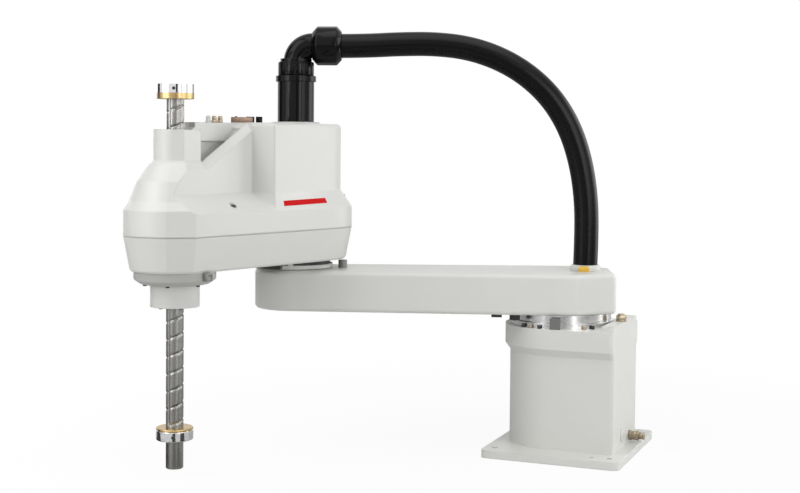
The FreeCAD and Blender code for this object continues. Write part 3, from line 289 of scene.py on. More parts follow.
def makeFinish(name, look):
    surface = bpy.data.materials.new(name)
    surface.use_nodes = True
    tree = surface.node_tree
    shader = tree.nodes["Principled BSDF"]
    shader.inputs["Metallic"].default_value = look.get("metal", 0)
    shader.inputs["Coat Weight"].default_value = look.get("coat", 0)
    shader.inputs["Coat Roughness"].default_value = marks["coatRough"]
    shader.inputs["Specular IOR Level"].default_value = look.get("specular", 0.5)
    place = addNode(tree, "TexCoord")
    patches = addNode(tree, "TexNoise", {"Scale": marks["patchScale"], "Detail": marks["patchDetail"]})
    tree.links.new(place.outputs["Object"], patches.inputs["Vector"])
    ramp = addNode(tree, "Mix")
    ramp.data_type = "RGBA"
    low, high = 1 - look["spread"], 1 + look["spread"]
    ramp.inputs[6].default_value = (*(value * low for value in look["tone"]), 1)
    ramp.inputs[7].default_value = (*(min(1, value * high) for value in look["tone"]), 1)
    tree.links.new(patches.outputs["Fac"], ramp.inputs[0])
    tree.links.new(ramp.outputs[2], shader.inputs["Base Color"])
    # roughness follows the same patches a little
    wear = addNode(tree, "MapRange", {"To Min": look["rough"] * (1 - marks["wear"]),
                                      "To Max": look["rough"] * (1 + marks["wear"])})
    tree.links.new(patches.outputs["Fac"], wear.inputs["Value"])
    tree.links.new(wear.outputs["Result"], shader.inputs["Roughness"])
    grain = addNode(tree, "TexNoise", {"Scale": look["grain"], "Detail": marks["grainDetail"]})
    if look.get("turned"):  # marks of the lathe run round the upright axis
        squeeze = addNode(tree, "Mapping", {"Scale": marks["latheSqueeze"]})
        tree.links.new(place.outputs["Object"], squeeze.inputs["Vector"])
        tree.links.new(squeeze.outputs["Vector"], grain.inputs["Vector"])
    else:
        tree.links.new(place.outputs["Object"], grain.inputs["Vector"])
    bump = addNode(tree, "Bump", {"Strength": look["bump"], "Distance": marks["bumpDepth"]})
    tree.links.new(grain.outputs["Fac"], bump.inputs["Height"])
    if look["edge"]:
        softEdge = addNode(tree, "Bevel", {"Radius": look["edge"]})
        softEdge.samples = marks["edgeSamples"]
        tree.links.new(softEdge.outputs["Normal"], bump.inputs["Normal"])
    tree.links.new(bump.outputs["Normal"], shader.inputs["Normal"])
    return surface


surfaces = {name: makeFinish(name, look) for name, look in finishes.items()}
print("finishes made,", len(surfaces))

# which finish each CAD node wears
nodeFinish = {
    "paintedCasting": ["base_casting", "base_bottom_cover", "arm_1_casting", "arm_1_bottom_cover", "arm_2_casting",
                       "bearing_cover"],
    "mouldedCover": ["arm_2_cover", "pipe_dish", "duct_base"],
    "paleRing": ["j2_reducer", "j2_zero_block", "turning_hub", "cover_gasket"],
    "turnedSteel": ["j1_reducer", "j1_output_flange"],
    "bearingSteel": ["spline_bearing", "screw_bearing", "spline_nut", "screw_nut"],
    "shaftSteel": ["spline_shaft"],
    "sensorGrey": ["j2_stop_pin"],
    "darkSteel": ["arm_1_stop_lugs", "arm_1_index_block", "j2_output_flange", "arm_2_stop_lug",
                  "bearing_cover_block"],
    "brightChrome": ["lower_collar", "upper_collar"],
    "satinBrass": ["j1_stop_bolt", "rear_brass_fitting", "duct_clamp", "air_fittings", "lower_collar_band",
                   "upper_collar_band"],
    "dullCopper": ["tool_connector"],
    "machinedAluminium": ["nut_bracket", "j4_pulley", "j3_pulley", "j3_motor_pulley", "j4_motor_pulley"],
    "blackPlastic": ["duct_elbow", "gland_nut", "lock_ring", "duct_pipe", "port_caps"],
    "greyPlastic": ["rear_plug"],
    "conduitBlack": ["duct"],
    "motorBlack": ["j1_motor", "j2_motor", "j3_motor", "j4_motor"],
    "sealRubber": ["j1_index_block", "shaft_wiper", "j4_belt", "j3_belt"],
}
for finishName, names in nodeFinish.items():
    for name in names:
        node = nodes[name]
        node.data.materials.clear()
        node.data.materials.append(surfaces[finishName])
print("CAD nodes dressed")

# the conduit's route in arm 1's upright plane, as distance from the first axis and height
conduit = {
    "route": [(-0.0368, 0.291), (-0.0385, 0.345), (-0.0365, 0.400), (-0.0275, 0.455), (-0.0100, 0.5075),
              (0.0180, 0.5530), (0.0555, 0.5890), (0.100, 0.6155), (0.151, 0.6325), (0.205, 0.6385),
              (0.260, 0.6378), (0.312, 0.6348), (0.352, 0.6343)],
    "radius": 0.0192,
    "length": 0.629,
    "ribPitch": 0.0032,
    "ribDepth": 0.00007,
    "ringsPerRib": 4,
    "around": 40,
    "inside": 0.00002,  # how much slimmer than the solid
    "smoothness": 24,
}


def makeConduit(settings):
    line = bpy.data.curves.new("conduitLine", "CURVE")
    line.dimensions = "3D"
    line.resolution_u = settings["smoothness"]
    spline = line.splines.new("NURBS")
    spline.points.add(len(settings["route"]) - 1)
    for point, (along, height) in zip(spline.points, settings["route"]):
        point.co = (*(armOnePlace @ Vector((along, 0, height))), 1)
    spline.order_u = 3
    spline.use_endpoint_u = True
    guide = bpy.data.objects.new("conduitLine", line)
    bpy.context.scene.collection.objects.link(guide)
    bpy.context.view_layer.update()
    mesh = bpy.data.meshes.new_from_object(guide.evaluated_get(bpy.context.evaluated_depsgraph_get()))
    path = [Vector(vertex.co) for vertex in mesh.vertices]
    bpy.data.meshes.remove(mesh)
    bpy.data.objects.remove(guide)
    # rings evenly along the line, the first of each rib a little smaller
    reach = [0.0]
    for before, here in zip(path, path[1:]):
        reach.append(reach[-1] + (here - before).length)
    total = reach[-1]
    count = round(total / settings["ribPitch"]) * settings["ringsPerRib"]
    side = armOnePlace.to_3x3() @ Vector((0, 1, 0))
    around = settings["around"]
    build = bmesh.new()
    rings = []
    index = 0
    for step in range(count + 1):
        here = total * step / count
        while index < len(reach) - 2 and reach[index + 1] < here:
            index += 1
        share = (here - reach[index]) / (reach[index + 1] - reach[index])
        centre = path[index].lerp(path[index + 1], share)
        tangent = (path[min(index + 2, len(path) - 1)] - path[max(index - 1, 0)]).normalized()
        out = tangent.cross(side).normalized()
        drop = settings["ribDepth"] if step % settings["ringsPerRib"] == 0 else 0
        radius = settings["radius"] - settings["inside"] - drop
        ring = []
        for turn in range(around):
            angle = 2 * math.pi * turn / around
            ring.append(build.verts.new(centre + (out * math.cos(angle) + side * math.sin(angle)) * radius))
        rings.append(ring)
    for lower, upper in zip(rings, rings[1:]):
        for turn in range(around):
            after = (turn + 1) % around
            build.faces.new((lower[turn], lower[after], upper[after], upper[turn]))
    build.faces.new(list(reversed(rings[0])))
    build.faces.new(rings[-1])
    bmesh.ops.recalc_face_normals(build, faces=build.faces)
    tube = bpy.data.meshes.new("ribbedConduit")
    build.to_mesh(tube)
    build.free()
    piece = bpy.data.objects.new("ribbedConduit", tube)
    bpy.context.scene.collection.objects.link(piece)
    for face in tube.polygons:
        face.use_smooth = len(face.vertices) == 4
    tube.materials.append(surfaces["conduitBlack"])
    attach(piece, "arm_1")
    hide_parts("duct")


makeConduit(conduit)
print("conduit made")


# shared ways of making the small pieces; facing is how square to an axis a picked face stands
facing = 0.9
tiny = 1e-6


def leaveEdit():
    bpy.ops.object.mode_set(mode="OBJECT")


def clearPick():
    if bpy.context.object and bpy.context.object.mode == "EDIT":
        leaveEdit()
    bpy.ops.object.select_all(action="DESELECT")


def facesUp(centre, normal):
    return normal.z > facing


def dropPick(piece, kinds):
    if piece.mode == "EDIT":
        leaveEdit()
    for kind in kinds:
        for item in getattr(piece.data, kind):
            item.select = False


def pickFaces(piece, wanted):
    dropPick(piece, ("vertices", "edges"))
    for face in piece.data.polygons:
        face.select = bool(wanted(face.center, face.normal))
    bpy.context.tool_settings.mesh_select_mode = (False, False, True)
    bpy.ops.object.mode_set(mode="EDIT")


def pickEdges(piece, wanted):
    dropPick(piece, ("vertices", "polygons"))
    points = piece.data.vertices
    for edge in piece.data.edges:
        edge.select = bool(wanted(points[edge.vertices[0]].co, points[edge.vertices[1]].co))
    bpy.context.tool_settings.mesh_select_mode = (False, True, False)
    bpy.ops.object.mode_set(mode="EDIT")


def addRound(name, sides, radius, low, high, centre=(0, 0)):
    clearPick()
    bpy.ops.mesh.primitive_cylinder_add(vertices=sides, radius=radius, depth=high - low,
                                        location=(centre[0], centre[1], (low + high) / 2))
    piece = bpy.context.object
    piece.name = name
    bpy.ops.object.transform_apply(location=True, rotation=True, scale=True)
    return piece


def addBlock(name, low, high):
    clearPick()
    middle = [(a + b) / 2 for a, b in zip(low, high)]
    bpy.ops.mesh.primitive_cube_add(size=1, location=middle)
    piece = bpy.context.object
    piece.name = name
    piece.scale = [b - a for a, b in zip(low, high)]
    bpy.ops.object.transform_apply(location=True, rotation=True, scale=True)
    return piece


def pushOut(move):
    bpy.ops.mesh.extrude_region_move(TRANSFORM_OT_translate={"value": move})


def softenRims(piece, width, segments=2, level=None):
    pickEdges(piece, lambda a, b: abs(a.z - b.z) < tiny and (level is None or abs(a.z - level) < tiny))
    bpy.ops.mesh.bevel(offset=width, segments=segments)
    leaveEdit()


def softenAll(piece, width, segments=2):
    clearPick()
    bpy.context.view_layer.objects.active = piece
    piece.select_set(True)
    soften = piece.modifiers.new("soften", "BEVEL")
    soften.width = width
    soften.segments = segments
    soften.limit_method = "ANGLE"
    bpy.ops.object.modifier_apply(modifier="soften")


def raiseRing(piece, wanted, inset, lift):
    pickFaces(piece, wanted)
    bpy.ops.mesh.inset(thickness=inset)
    pushOut((0, 0, lift))
    leaveEdit()


def cutAway(piece, cutter):
    clearPick()
    bpy.context.view_layer.objects.active = piece
    piece.select_set(True)
    cut = piece.modifiers.new("cut", "BOOLEAN")
    cut.operation = "DIFFERENCE"
    cut.object = cutter
    bpy.ops.object.modifier_apply(modifier="cut")
    bpy.data.objects.remove(cutter)


def joinAll(pieces, name):
    clearPick()
    for piece in pieces:
        piece.select_set(True)
    bpy.context.view_layer.objects.active = pieces[0]
    if len(pieces) > 1:
        bpy.ops.object.join()
    whole = bpy.context.object
    whole.name = name
    return whole


def copyTo(model, places, name):
    copies = []
    for number, place in enumerate(places):
        twin = bpy.data.objects.new(name + str(number), model.data.copy())
        twin.data.transform(place)
        if place.determinant() < 0:
            twin.data.flip_normals()
        bpy.context.scene.collection.objects.link(twin)
        copies.append(twin)
    bpy.data.objects.remove(model)
    return joinAll(copies, name)


def finishPiece(piece, finish, body, place=None, smooth=35):
    clearPick()
    if place is not None:
        piece.data.transform(place)
    piece.data.name = piece.name
    piece.data.materials.clear()
    piece.data.materials.append(surfaces[finish])
    for face in piece.data.polygons:
        face.material_index = 0
    bpy.context.view_layer.objects.active = piece
    piece.select_set(True)
    bpy.ops.object.shade_smooth_by_angle(angle=math.radians(smooth))
    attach(piece, body)
    return piece


def lean(direction):
    return Vector(direction).to_track_quat("Z", "Y").to_matrix().to_4x4()


def at(x, y, z):
    return Matrix.Translation((x, y, z))


def heights(node):
    low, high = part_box(node)
    return low[2], high[2]


levels = {
    "coverTop": heights("pipe_dish")[0],
    "armOneLow": heights("arm_1_casting")[0],
    "armTwoLow": heights("bearing_cover")[1],
    "shaft": heights("spline_shaft"),
    "lowerCollar": heights("lower_collar"),
    "upperCollar": heights("upper_collar"),
    "lock": heights("lock_ring"),
    "hubLow": heights("turning_hub")[0],
    "ductEnd": sum(heights("gland_nut")) / 2,
}

# socket screws, used all over; bevel and socket are shares of the radius, floor is a share of the height
screwForm = {"around": 28, "sunk": 0.0005, "bevel": 0.16, "socket": 0.56, "floor": 0.45, "over": 0.002}


def makeScrew(radius, height):
    form = screwForm
    screw = addRound("screw", form["around"], radius, -form["sunk"], height)
    softenRims(screw, radius * form["bevel"], 2, level=height)
    socket = addRound("socket", 6, radius * form["socket"], height * form["floor"], height + form["over"])
    cutAway(screw, socket)
    return screw


# the ball screw spline shaft
shaftForm = {
    "radius": 0.0125,
    "bore": 0.007,
    "around": 60,
    "lead": 0.025,
    "screwWidth": 0.0036,
    "screwDepth": 0.0011,
    "splineWidth": 0.0038,
    "splineDepth": 0.0014,
    "splines": 3,
    "runOut": 0.004,
    "boreDepth": 0.03,
    "bevel": 0.001,
    "cuts": 19,
    "plainOverCollar": 0.002,
    "plainEnd": 0.0015,
    "undercut": (0.002, 0.0008),  # height and depth below the lower collar
}


def roundOff(off, width, depth):
    return depth * math.sqrt(1 - (off / (width / 2)) ** 2) if off < width / 2 else 0.0


def makeShaft(form):
    low, high = levels["shaft"]
    skin = form["radius"] - 10 * tiny
    shaft = addRound("ballScrewShaft", form["around"], form["radius"], low, high)
    pickFaces(shaft, lambda centre, normal: abs(normal.z) > facing)
    bpy.ops.mesh.inset(thickness=form["bevel"])
    leaveEdit()
    for vertex in shaft.data.vertices:  # the small bevel at each end
        if vertex.co.xy.length > skin:
            vertex.co.z += form["bevel"] if vertex.co.z < (low + high) / 2 else -form["bevel"]
    for direction in (1, -1):
        pickFaces(shaft, lambda centre, normal: normal.z * direction > facing)
        bpy.ops.mesh.inset(thickness=form["radius"] - form["bevel"] - form["bore"])
        pushOut((0, 0, -direction * form["boreDepth"]))
        leaveEdit()
    for _ in range(2):  # into twenty parts, and then each of those into twenty
        pickEdges(shaft, lambda a, b: (a - b).xy.length < tiny and abs(a.z - b.z) > 3 * form["bevel"]
                  and a.xy.length > skin)
        bpy.ops.mesh.subdivide(number_cuts=form["cuts"])
        leaveEdit()
    plainLow = levels["lowerCollar"][1] + form["plainOverCollar"]
    plainHigh = high - form["plainEnd"]
    collarFoot = levels["lowerCollar"][0]
    undercutHeight, undercutDepth = form["undercut"]
    sector = 2 * math.pi / form["splines"]
    for vertex in shaft.data.vertices:
        flat = vertex.co.xy
        if flat.length < skin:
            continue
        angle = math.atan2(flat.y, flat.x)
        height = vertex.co.z
        deep = 0.0
        if plainLow < height < plainHigh:
            fade = min(1, (height - plainLow) / form["runOut"], (plainHigh - height) / form["runOut"])
            phase = (height / form["lead"] - angle / (2 * math.pi)) % 1
            off = min(phase, 1 - phase) * form["lead"]
            turn = angle % sector
            side = min(turn, sector - turn) * form["radius"]
            deep = fade * max(roundOff(off, form["screwWidth"], form["screwDepth"]),
                              roundOff(side, form["splineWidth"], form["splineDepth"]))
        elif collarFoot - undercutHeight < height < collarFoot:
            deep = undercutDepth
        scale = (form["radius"] - deep) / flat.length
        vertex.co.x *= scale
        vertex.co.y *= scale
    finishPiece(shaft, "shaftSteel", "shaft", toolPlace, smooth=28)
    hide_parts("spline_shaft")


makeShaft(shaftForm)
print("shaft made")


# clamp collars: chamfered rings and their set screws
collarForm = {"radius": 0.0265, "bore": 0.0125, "bevel": 0.0009, "screwRadius": 0.0024, "screwHeight": 0.0007,
              "angles": (38, 158, 278), "chromeHeight": 0.0142, "bandHeight": 0.0030, "around": 72}


def spinProfile(name, profile, around):
    clearPick()
    bpy.ops.mesh.primitive_circle_add(vertices=len(profile), radius=1)
    piece = bpy.context.object
    piece.name = name
    for vertex, (radius, height) in zip(piece.data.vertices, profile):
        vertex.co = (radius, 0, height)
    bpy.ops.object.mode_set(mode="EDIT")
    bpy.ops.mesh.select_all(action="SELECT")
    bpy.ops.mesh.spin(steps=around, angle=2 * math.pi, center=(0, 0, 0), axis=(0, 0, 1))
    bpy.ops.mesh.select_all(action="SELECT")
    bpy.ops.mesh.remove_doubles(threshold=tiny)
    bpy.ops.mesh.normals_make_consistent(inside=False)
    leaveEdit()
    return piece


def makeLowerCollar(form):
    low = levels["lowerCollar"][0]
    middle = low + form["chromeHeight"]
    for name, finish, slot, node, start, end in (
            ("lowerCollarRing", "brightChrome", "chrome", "lower_collar", low, middle),
            ("lowerCollarDisc", "satinBrass", "brass", "lower_collar_band", middle, middle + form["bandHeight"])):
        outer, bore, bevel = form["radius"], form["bore"], form["bevel"]
        profile = [(bore, start), (bore, end), (outer - bevel, end), (outer, end - bevel), (outer, start + bevel),
                   (outer - bevel, start)]
        ring = spinProfile(name, profile, form["around"])
        finishPiece(ring, finish, "shaft", toolPlace, smooth=28)
        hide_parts(node)


def makeCollarScrews(form):
    for name, key in (("lowerCollarScrews", "lowerCollar"), ("upperCollarScrews", "upperCollar")):
        low, high = levels[key]
        if key == "lowerCollar":
            high = low + form["chromeHeight"]
        screw = makeScrew(form["screwRadius"], form["screwHeight"])
        places = []
        for angle in form["angles"]:
            x, y = math.cos(math.radians(angle)), math.sin(math.radians(angle))
            onRim = at(x * form["radius"], y * form["radius"], (low + high) / 2)
            places.append(toolPlace @ onRim @ lean((x, y, 0)))
        screws = copyTo(screw, places, name)
        finishPiece(screws, "darkSteel", "shaft")


makeLowerCollar(collarForm)
makeCollarScrews(collarForm)
print("collars made")


# duct head: fluted lock ring and flatted gland nut
headForm = {"lockRadius": 0.0285, "notches": 12, "lockBevel": 0.0016, "notchEdge": 0.0005, "notchShare": 0.955,
            "nutRadius": 0.0315, "nutNeck": 0.0225, "nutLength": 0.047, "nutBevel": 0.008, "flats": 12,
            "nutCorner": 0.0035, "nutSoft": 0.0012, "bend": 0.026}


def makeLockRing(form):
    low, high = levels["lock"]
    ring = addRound("flutedLockRing", form["notches"] * 4, form["lockRadius"], low, high)
    softenRims(ring, form["lockBevel"])
    step = 2 * math.pi / form["notches"]
    middle, share = (low + high) / 2, form["notchShare"]
    pickFaces(ring, lambda centre, normal: abs(normal.z) < 1 - facing and abs(centre.z - middle) < form["lockBevel"]
              and (math.atan2(centre.y, centre.x) % step) < step / 4)
    bpy.ops.mesh.inset(thickness=form["notchEdge"], use_individual=True)
    bpy.ops.transform.resize(value=(share, share, 1), center_override=(0, 0, middle))
    leaveEdit()
    finishPiece(ring, "blackPlastic", "arm_1", armOnePlace @ at(elbowAt.xy.length, 0, 0))
    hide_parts("lock_ring")


def makeGlandNut(form):
    length, bevel = form["nutLength"], form["nutBevel"]
    nut = addRound("flattedGlandNut", form["flats"], form["nutRadius"], bevel, length - bevel)
    pickEdges(nut, lambda a, b: abs(a.z - b.z) > length / 2)
    bpy.ops.mesh.bevel(offset=form["nutCorner"], segments=3)
    leaveEdit()
    share = form["nutNeck"] / form["nutRadius"]
    for direction, end in ((1, length), (-1, 0)):
        pickFaces(nut, lambda centre, normal: normal.z * direction > facing)
        pushOut((0, 0, direction * bevel))
        bpy.ops.transform.resize(value=(share, share, 1), center_override=(0, 0, end))
        leaveEdit()
    softenAll(nut, form["nutSoft"])
    place = armOnePlace @ at(elbowAt.xy.length - form["bend"], 0, levels["ductEnd"]) @ lean((-1, 0, 0))
    finishPiece(nut, "blackPlastic", "arm_1", place, smooth=30)
    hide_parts("gland_nut")


makeLockRing(headForm)
makeGlandNut(headForm)
print("duct head made")

# plain red bar on each side of the tower, laid on the sloping foot of its wall
barForm = {
    "ends": ((0.1265, 0.3862, 0.3940), (0.0262, 0.3880, 0.3955)),  # distance along arm 2, lower edge, upper edge
    "proud": 0.0004,
    "cuts": 11,
    "corner": 0.0006,
    "pick": 0.001,  # how near two points must be along the bar to count as level
    "skirt": ((0.0063, 0.0898), (0.3051, 0.0676), 0.380),  # two points of the skirt's top edge, and its height
    "tower": ((0.0050, 0.0718), (0.1450, 0.0760), 0.406),
}


def sideAt(form, x, z):
    reach = []
    for first, last, height in (form["skirt"], form["tower"]):
        share = (x - first[0]) / (last[0] - first[0])
        reach.append((first[1] + (last[1] - first[1]) * share, height))
    (low, lowHeight), (high, highHeight) = reach
    rise = max(0, min(1, (z - lowHeight) / (highHeight - lowHeight)))
    return low + (high - low) * rise


def makeRedBars(form):
    (rightEnd, rightLow, rightHigh), (leftEnd, leftLow, leftHigh) = form["ends"]
    bar = addBlock("bar", (leftEnd, 0, 0), (rightEnd, 1, 1))
    pickEdges(bar, lambda a, b: abs(a.x - b.x) > form["pick"])
    bpy.ops.mesh.subdivide(number_cuts=form["cuts"])
    leaveEdit()
    for vertex in bar.data.vertices:
        x, out, up = vertex.co
        share = (x - leftEnd) / (rightEnd - leftEnd)
        low = leftLow + (rightLow - leftLow) * share
        high = leftHigh + (rightHigh - leftHigh) * share
        z = low + (high - low) * up
        vertex.co = (x, sideAt(form, x, z) + (form["proud"] if out > 0.5 else -form["proud"]), z)
    near = form["pick"]
    pickEdges(bar, lambda a, b: abs(a.z - b.z) > 4 * near and abs(a.x - b.x) < near
              and (min(a.x, b.x) < leftEnd + near or max(a.x, b.x) > rightEnd - near))
    bpy.ops.mesh.bevel(offset=form["corner"], segments=2)
    leaveEdit()
    bars = copyTo(bar, [armTwoPlace, armTwoPlace @ Matrix.Scale(-1, 4, (0, 1, 0))], "redBars")
    finishPiece(bars, "redBar", "arm_2")


makeRedBars(barForm)


# cover screws in the ledge's wells and on the tail
coverScrews = {  # place along arm 2, to its side and up, then radius and height
    "ledgeScrews": ((0.220, 0.060, 0.3842), 0.0043, 0.0066),
    "tailScrews": ((-0.062, 0.048, 0.3930), 0.0036, 0.0048),
}


def makeCoverScrews(form):
    for name, ((x, y, z), radius, height) in form.items():
        places = [armTwoPlace @ at(x, side * y, z) for side in (1, -1)]
        finishPiece(copyTo(makeScrew(radius, height), places, name), "darkSteel", "arm_2")


makeCoverScrews(coverScrews)
print("cover details made")


# bearing cover under arm 2's nose: a chamfered dish with screws, and the sensor block beside it
dishForm = {
    "profile": [(0.0585, 0.0), (0.0585, -0.0100), (0.0575, -0.0125), (0.0490, -0.0182), (0.0400, -0.0200),
                (0.0225, -0.0200), (0.0225, 0.0)],  # radius, and depth below arm 2
    "around": 72,
    "screws": 6, "screwCircle": 0.0440, "screwStart": 30, "screwLevel": -0.0190, "screwRadius": 0.0028,
    "screwHeight": 0.0019,
}


upsideDown = Matrix.Rotation(math.pi, 4, "X")


def ringPlaces(count, radius, height, start):
    places = []
    for number in range(count):
        angle = math.radians(start) + 2 * math.pi * number / count
        places.append(at(radius * math.cos(angle), radius * math.sin(angle), height) @ upsideDown)
    return places


def makeBearingDish(form):
    armLow = levels["armTwoLow"]
    dish = spinProfile("bearingDish", form["profile"], form["around"])
    # the dish wears the darker copy of the casting paint: painted shade under arm 2's nose
    finishPiece(dish, "dullCasting", "arm_2", toolPlace @ at(0, 0, armLow), smooth=28)
    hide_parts("bearing_cover")
    places = [toolPlace @ place for place in
              ringPlaces(form["screws"], form["screwCircle"], armLow + form["screwLevel"], form["screwStart"])]
    screws = copyTo(makeScrew(form["screwRadius"], form["screwHeight"]), places, "dishScrews")
    finishPiece(screws, "darkSteel", "arm_2")


sensorForm = {"low": (-0.0065, -0.0036, -0.0060), "high": (0.0065, 0.0036, 0.0056), "rim": 0.0022, "sunk": 0.0012,
              "soft": 0.0006, "near": 0.001}


def makeSensorBlock(form):
    low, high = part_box("bearing_cover_block")
    middle = [(a + b) / 2 for a, b in zip(low, high)]
    centre = armTwoPlace.inverted() @ Vector(middle)
    block = addBlock("sensorBlock", form["low"], form["high"])
    raiseRing(block, lambda face, normal: normal.y > facing, form["rim"], 0)
    pickFaces(block, lambda face, normal: normal.y > facing and max(abs(face.x), abs(face.z)) < form["near"])
    pushOut((0, -form["sunk"], 0))
    leaveEdit()
    softenAll(block, form["soft"])
    finishPiece(block, "sensorGrey", "arm_2", armTwoPlace @ at(*centre))
    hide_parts("bearing_cover_block")


makeBearingDish(dishForm)
makeSensorBlock(sensorForm)


# turning hub: screws round its lower face
hubForm = {"screws": 6, "circle": 0.0285, "radius": 0.0027, "height": 0.0020, "sunk": 0.0003}


def makeHubScrews(form):
    places = [toolPlace @ place for place in
              ringPlaces(form["screws"], form["circle"], levels["hubLow"] + form["sunk"], 0)]
    finishPiece(copyTo(makeScrew(form["radius"], form["height"]), places, "hubScrews"), "darkSteel", "quill")


makeHubScrews(hubForm)
print("tool end made")


# first joint: small screws on the rim, and the stop bolt
rimForm = {"circle": 0.0850, "level": 0.198, "radius": 0.0026, "height": 0.0055,
           "darkAngles": (62, 82, 140), "brassAngles": (72, 130)}


def makeRimScrews(form):
    for name, finish, slot, angles in (("rimScrewsDark", "darkSteel", "dark_steel", form["darkAngles"]),
                                       ("rimScrewsBrass", "dullBrass", "brass", form["brassAngles"])):
        places = []
        for angle in angles:
            turn = math.radians(angle)
            places.append(at(form["circle"] * math.cos(turn), form["circle"] * math.sin(turn), form["level"]))
        finishPiece(copyTo(makeScrew(form["radius"], form["height"]), places, name), finish, "base")


boltForm = {
    "over": 0.0015,  # how much taller than the solid bolt, over which arm 1 passes with 2 mm to spare
    "washer": (32, 0.0086, 0.0018, 0.0004),  # sides, radius, height, bevel
    "head": (6, 0.0082, 0.0022, 0.0007),  # here the third is how far it ends below the cap's top
    "cap": (24, 0.0058, 0.0030, 0.0012),
    "overlap": 0.0004,  # how far the head reaches into the washer
}


def makeStopBolt(form):
    low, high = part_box("j1_stop_bolt")
    x, y = (low[0] + high[0]) / 2, (low[1] + high[1]) / 2
    foot, top = low[2], high[2] + form["over"]
    sides, radius, thick, bevel = form["washer"]
    washer = addRound("washer", sides, radius, foot, foot + thick)
    softenRims(washer, bevel)
    headFoot = foot + thick - form["overlap"]
    sides, radius, below, bevel = form["head"]
    head = addRound("head", sides, radius, headFoot, top - below)
    softenRims(head, bevel)
    sides, radius, height, bevel = form["cap"]
    cap = addRound("cap", sides, radius, top - height, top)
    softenRims(cap, bevel, 3, level=top)
    bolt = joinAll([washer, head, cap], "stopBolt")
    finishPiece(bolt, "dullBrass", "base", at(x, y, 0))
    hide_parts("j1_stop_bolt")


makeRimScrews(rimForm)
makeStopBolt(boltForm)


# rear of the base: the stepped brass nipple and the plug's coin slot
nippleForm = {
    "steps": [(6, 0.0080, 0.0, 0.005), (32, 0.0068, 0.005, 0.0125), (6, 0.0079, 0.0125, 0.0165),
              (32, 0.0052, 0.0165, 0.0232), (32, 0.0060, 0.0232, 0.0250)],  # sides, radius, start, end
    "bevel": 0.0006,
}
plugForm = {"around": 40, "bevel": 0.0006, "slot": ((-0.006, -0.0007, 0.0012), (0.006, 0.0007, 0.004))}


def backwardFrom(node):
    low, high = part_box(node)
    return at(high[0], (low[1] + high[1]) / 2, (low[2] + high[2]) / 2) @ lean((-1, 0, 0))


def makeNipple(form):
    stack = []
    for sides, radius, start, end in form["steps"]:
        step = addRound("step", sides, radius, start, end)
        softenRims(step, form["bevel"])
        stack.append(step)
    nipple = joinAll(stack, "rearNipple")
    finishPiece(nipple, "dullBrass", "base", backwardFrom("rear_brass_fitting"))
    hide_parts("rear_brass_fitting")


def makePlug(form):
    low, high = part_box("rear_plug")
    depth = high[0] - low[0]
    plug = addRound("rearPlug", form["around"], (high[1] - low[1]) / 2, 0, depth)
    softenRims(plug, form["bevel"], level=depth)
    slot = addBlock("slot", *form["slot"])
    cutAway(plug, slot)
    finishPiece(plug, "paintedCasting", "base", backwardFrom("rear_plug"))
    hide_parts("rear_plug")


makeNipple(nippleForm)
makePlug(plugForm)
print("base details made")


# arm 1: screws of the bottom cover, and the yellow clip at the duct's foot
armOneForm = {"cover": (0.082, 0.366, 0.055), "inset": 0.007, "rows": 4, "sunk": 0.0003,
              "screwRadius": 0.0034, "screwHeight": 0.0016}
clipForm = {"half": (0.0082, 0.0030), "height": 0.0085, "turn": -10, "crown": 0.0034, "rim": 0.0016, "proud": 0.0009,
            "soft": 0.0005}


def makeBottomScrews(form):
    lowX, highX, half = form["cover"]
    places = []
    for row in range(form["rows"]):
        x = lowX + form["inset"] + (highX - lowX - 2 * form["inset"]) * row / (form["rows"] - 1)
        for side in (1, -1):
            place = at(x, side * (half - form["inset"]), levels["armOneLow"] + form["sunk"])
            places.append(armOnePlace @ place @ upsideDown)
    finishPiece(copyTo(makeScrew(form["screwRadius"], form["screwHeight"]), places, "bottomCoverScrews"), "darkSteel",
                "arm_1")


def makeClip(form):
    low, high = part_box("duct_clamp")
    ductLow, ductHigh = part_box("duct_base")
    centre = Vector(((low[0] + high[0]) / 2, (low[1] + high[1]) / 2, low[2]))
    middle = Vector(((ductLow[0] + ductHigh[0]) / 2, (ductLow[1] + ductHigh[1]) / 2, low[2]))
    out = Matrix.Rotation(math.radians(form["turn"]), 4, "Z") @ (centre - middle)
    centre = middle + out
    (halfWidth, halfDepth), height = form["half"], form["height"]
    clip = addBlock("ductClip", (-halfWidth, -halfDepth, 0), (halfWidth, halfDepth, height))
    pickEdges(clip, lambda a, b: abs(a.y - b.y) > halfDepth and min(a.z, b.z) > height / 2)
    bpy.ops.mesh.bevel(offset=form["crown"], segments=4)
    leaveEdit()
    pickFaces(clip, lambda face, normal: normal.y > facing)
    bpy.ops.mesh.inset(thickness=form["rim"])
    pushOut((0, form["proud"], 0))
    leaveEdit()
    softenAll(clip, form["soft"])
    turn = math.atan2(out.y, out.x) - math.pi / 2
    finishPiece(clip, "yellowPaint", "arm_1", at(*centre) @ Matrix.Rotation(turn, 4, "Z"))
    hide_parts("duct_clamp")


makeBottomScrews(armOneForm)
makeClip(clipForm)
print("arm 1 details made")


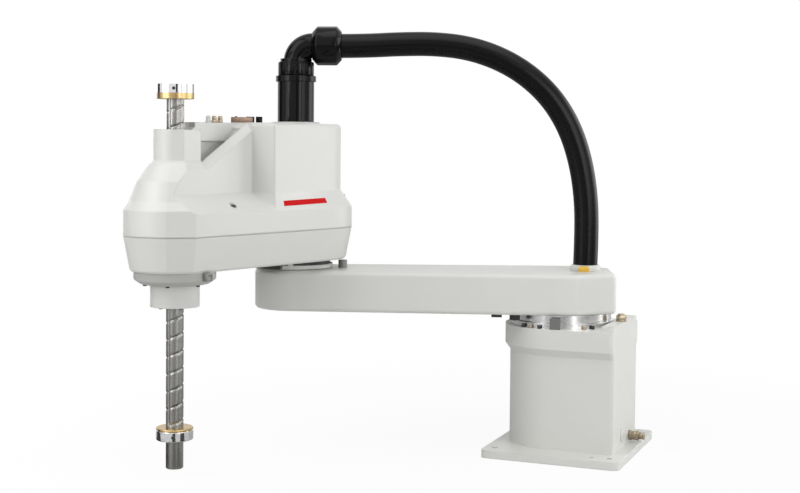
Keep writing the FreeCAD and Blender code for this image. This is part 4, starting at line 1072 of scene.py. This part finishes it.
# fittings on top of the cover
fittingForm = {
    "places": ((0.180, "dullBrass"), (0.193, "dullBrass"), (0.206, "paleRing")),
    "foot": (6, 0.0044, -0.0009, 0.0028, 0.0004),  # sides, radius, start, end, bevel
    "barrel": (28, 0.0036, 0.0026, 0.0074, 0.0004),
    "collar": (28, 0.0029, 0.0072, 0.0092, 0.0002),
    "mouth": (0.0011, -0.0012),
}
connectorForm = {
    "low": (-0.015, -0.009, 0), "high": (0.015, 0.009, 0.0084), "x": 0.131, "well": (0.0022, -0.0024), "soft": 0.0008,
    "pins": 5, "pin": (10, 0.0007, 0.005, 0.0078), "pitch": 0.0042, "row": 0.0024,
    "screw": (0.0017, 0.0012), "screwSide": 0.0132,
}
capForm = {"x": 0.100, "side": 0.008, "around": 20, "radius": 0.005, "height": 0.0096, "fluteEdge": 0.0003,
           "fluteShare": 0.94, "mouth": (0.0014, -0.0008)}


def makeAirFittings(form):
    top = levels["coverTop"]
    pieces = []
    for x, finish in form["places"]:
        stack = []
        for key in ("foot", "barrel", "collar"):
            sides, radius, start, end, bevel = form[key]
            step = addRound(key, sides, radius, start, end)
            if key == "collar":
                raiseRing(step, facesUp, *form["mouth"])
            softenRims(step, bevel)
            stack.append(step)
        fitting = joinAll(stack, "airFitting" + str(round(x * 1000)))
        pieces.append(finishPiece(fitting, finish, "arm_2", armTwoPlace @ at(x, 0, top)))
    for piece in pieces:
        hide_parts("air_fittings")


def makeConnector(form):
    shell = addBlock("connectorShell", form["low"], form["high"])
    raiseRing(shell, facesUp, *form["well"])
    softenAll(shell, form["soft"])
    pins = []
    for row in (-1, 1):
        for number in range(form["pins"]):
            spot = ((number - (form["pins"] - 1) / 2) * form["pitch"], row * form["row"])
            pins.append(addRound("pin", *form["pin"], spot))
    place = armTwoPlace @ at(form["x"], 0, levels["coverTop"])
    finishPiece(shell, "dullCopper", "arm_2", place)
    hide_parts("tool_connector")
    finishPiece(joinAll(pins, "connectorPins"), "satinBrass", "arm_2", place)
    places = [place @ at(side * form["screwSide"], 0, form["high"][2]) for side in (1, -1)]
    screws = copyTo(makeScrew(*form["screw"]), places, "connectorScrews")
    finishPiece(screws, "darkSteel", "arm_2")


def makePortCaps(form):
    height, share = form["height"], form["fluteShare"]
    cap = addRound("cap", form["around"], form["radius"], 0, height)
    pickFaces(cap, lambda face, normal: abs(normal.z) < 1 - facing)
    bpy.ops.mesh.inset(thickness=form["fluteEdge"], use_individual=True)
    bpy.ops.transform.resize(value=(share, share, 1), center_override=(0, 0, height / 2))
    leaveEdit()
    raiseRing(cap, facesUp, *form["mouth"])
    places = [armTwoPlace @ at(form["x"], side * form["side"], levels["coverTop"]) for side in (1, -1)]
    caps = copyTo(cap, places, "portCaps")
    finishPiece(caps, "blackPlastic", "arm_2")
    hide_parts("port_caps")


makeAirFittings(fittingForm)
makeConnector(connectorForm)
makePortCaps(capForm)
print("top fittings made")

bpy.context.scene.view_settings.view_transform = "Standard"
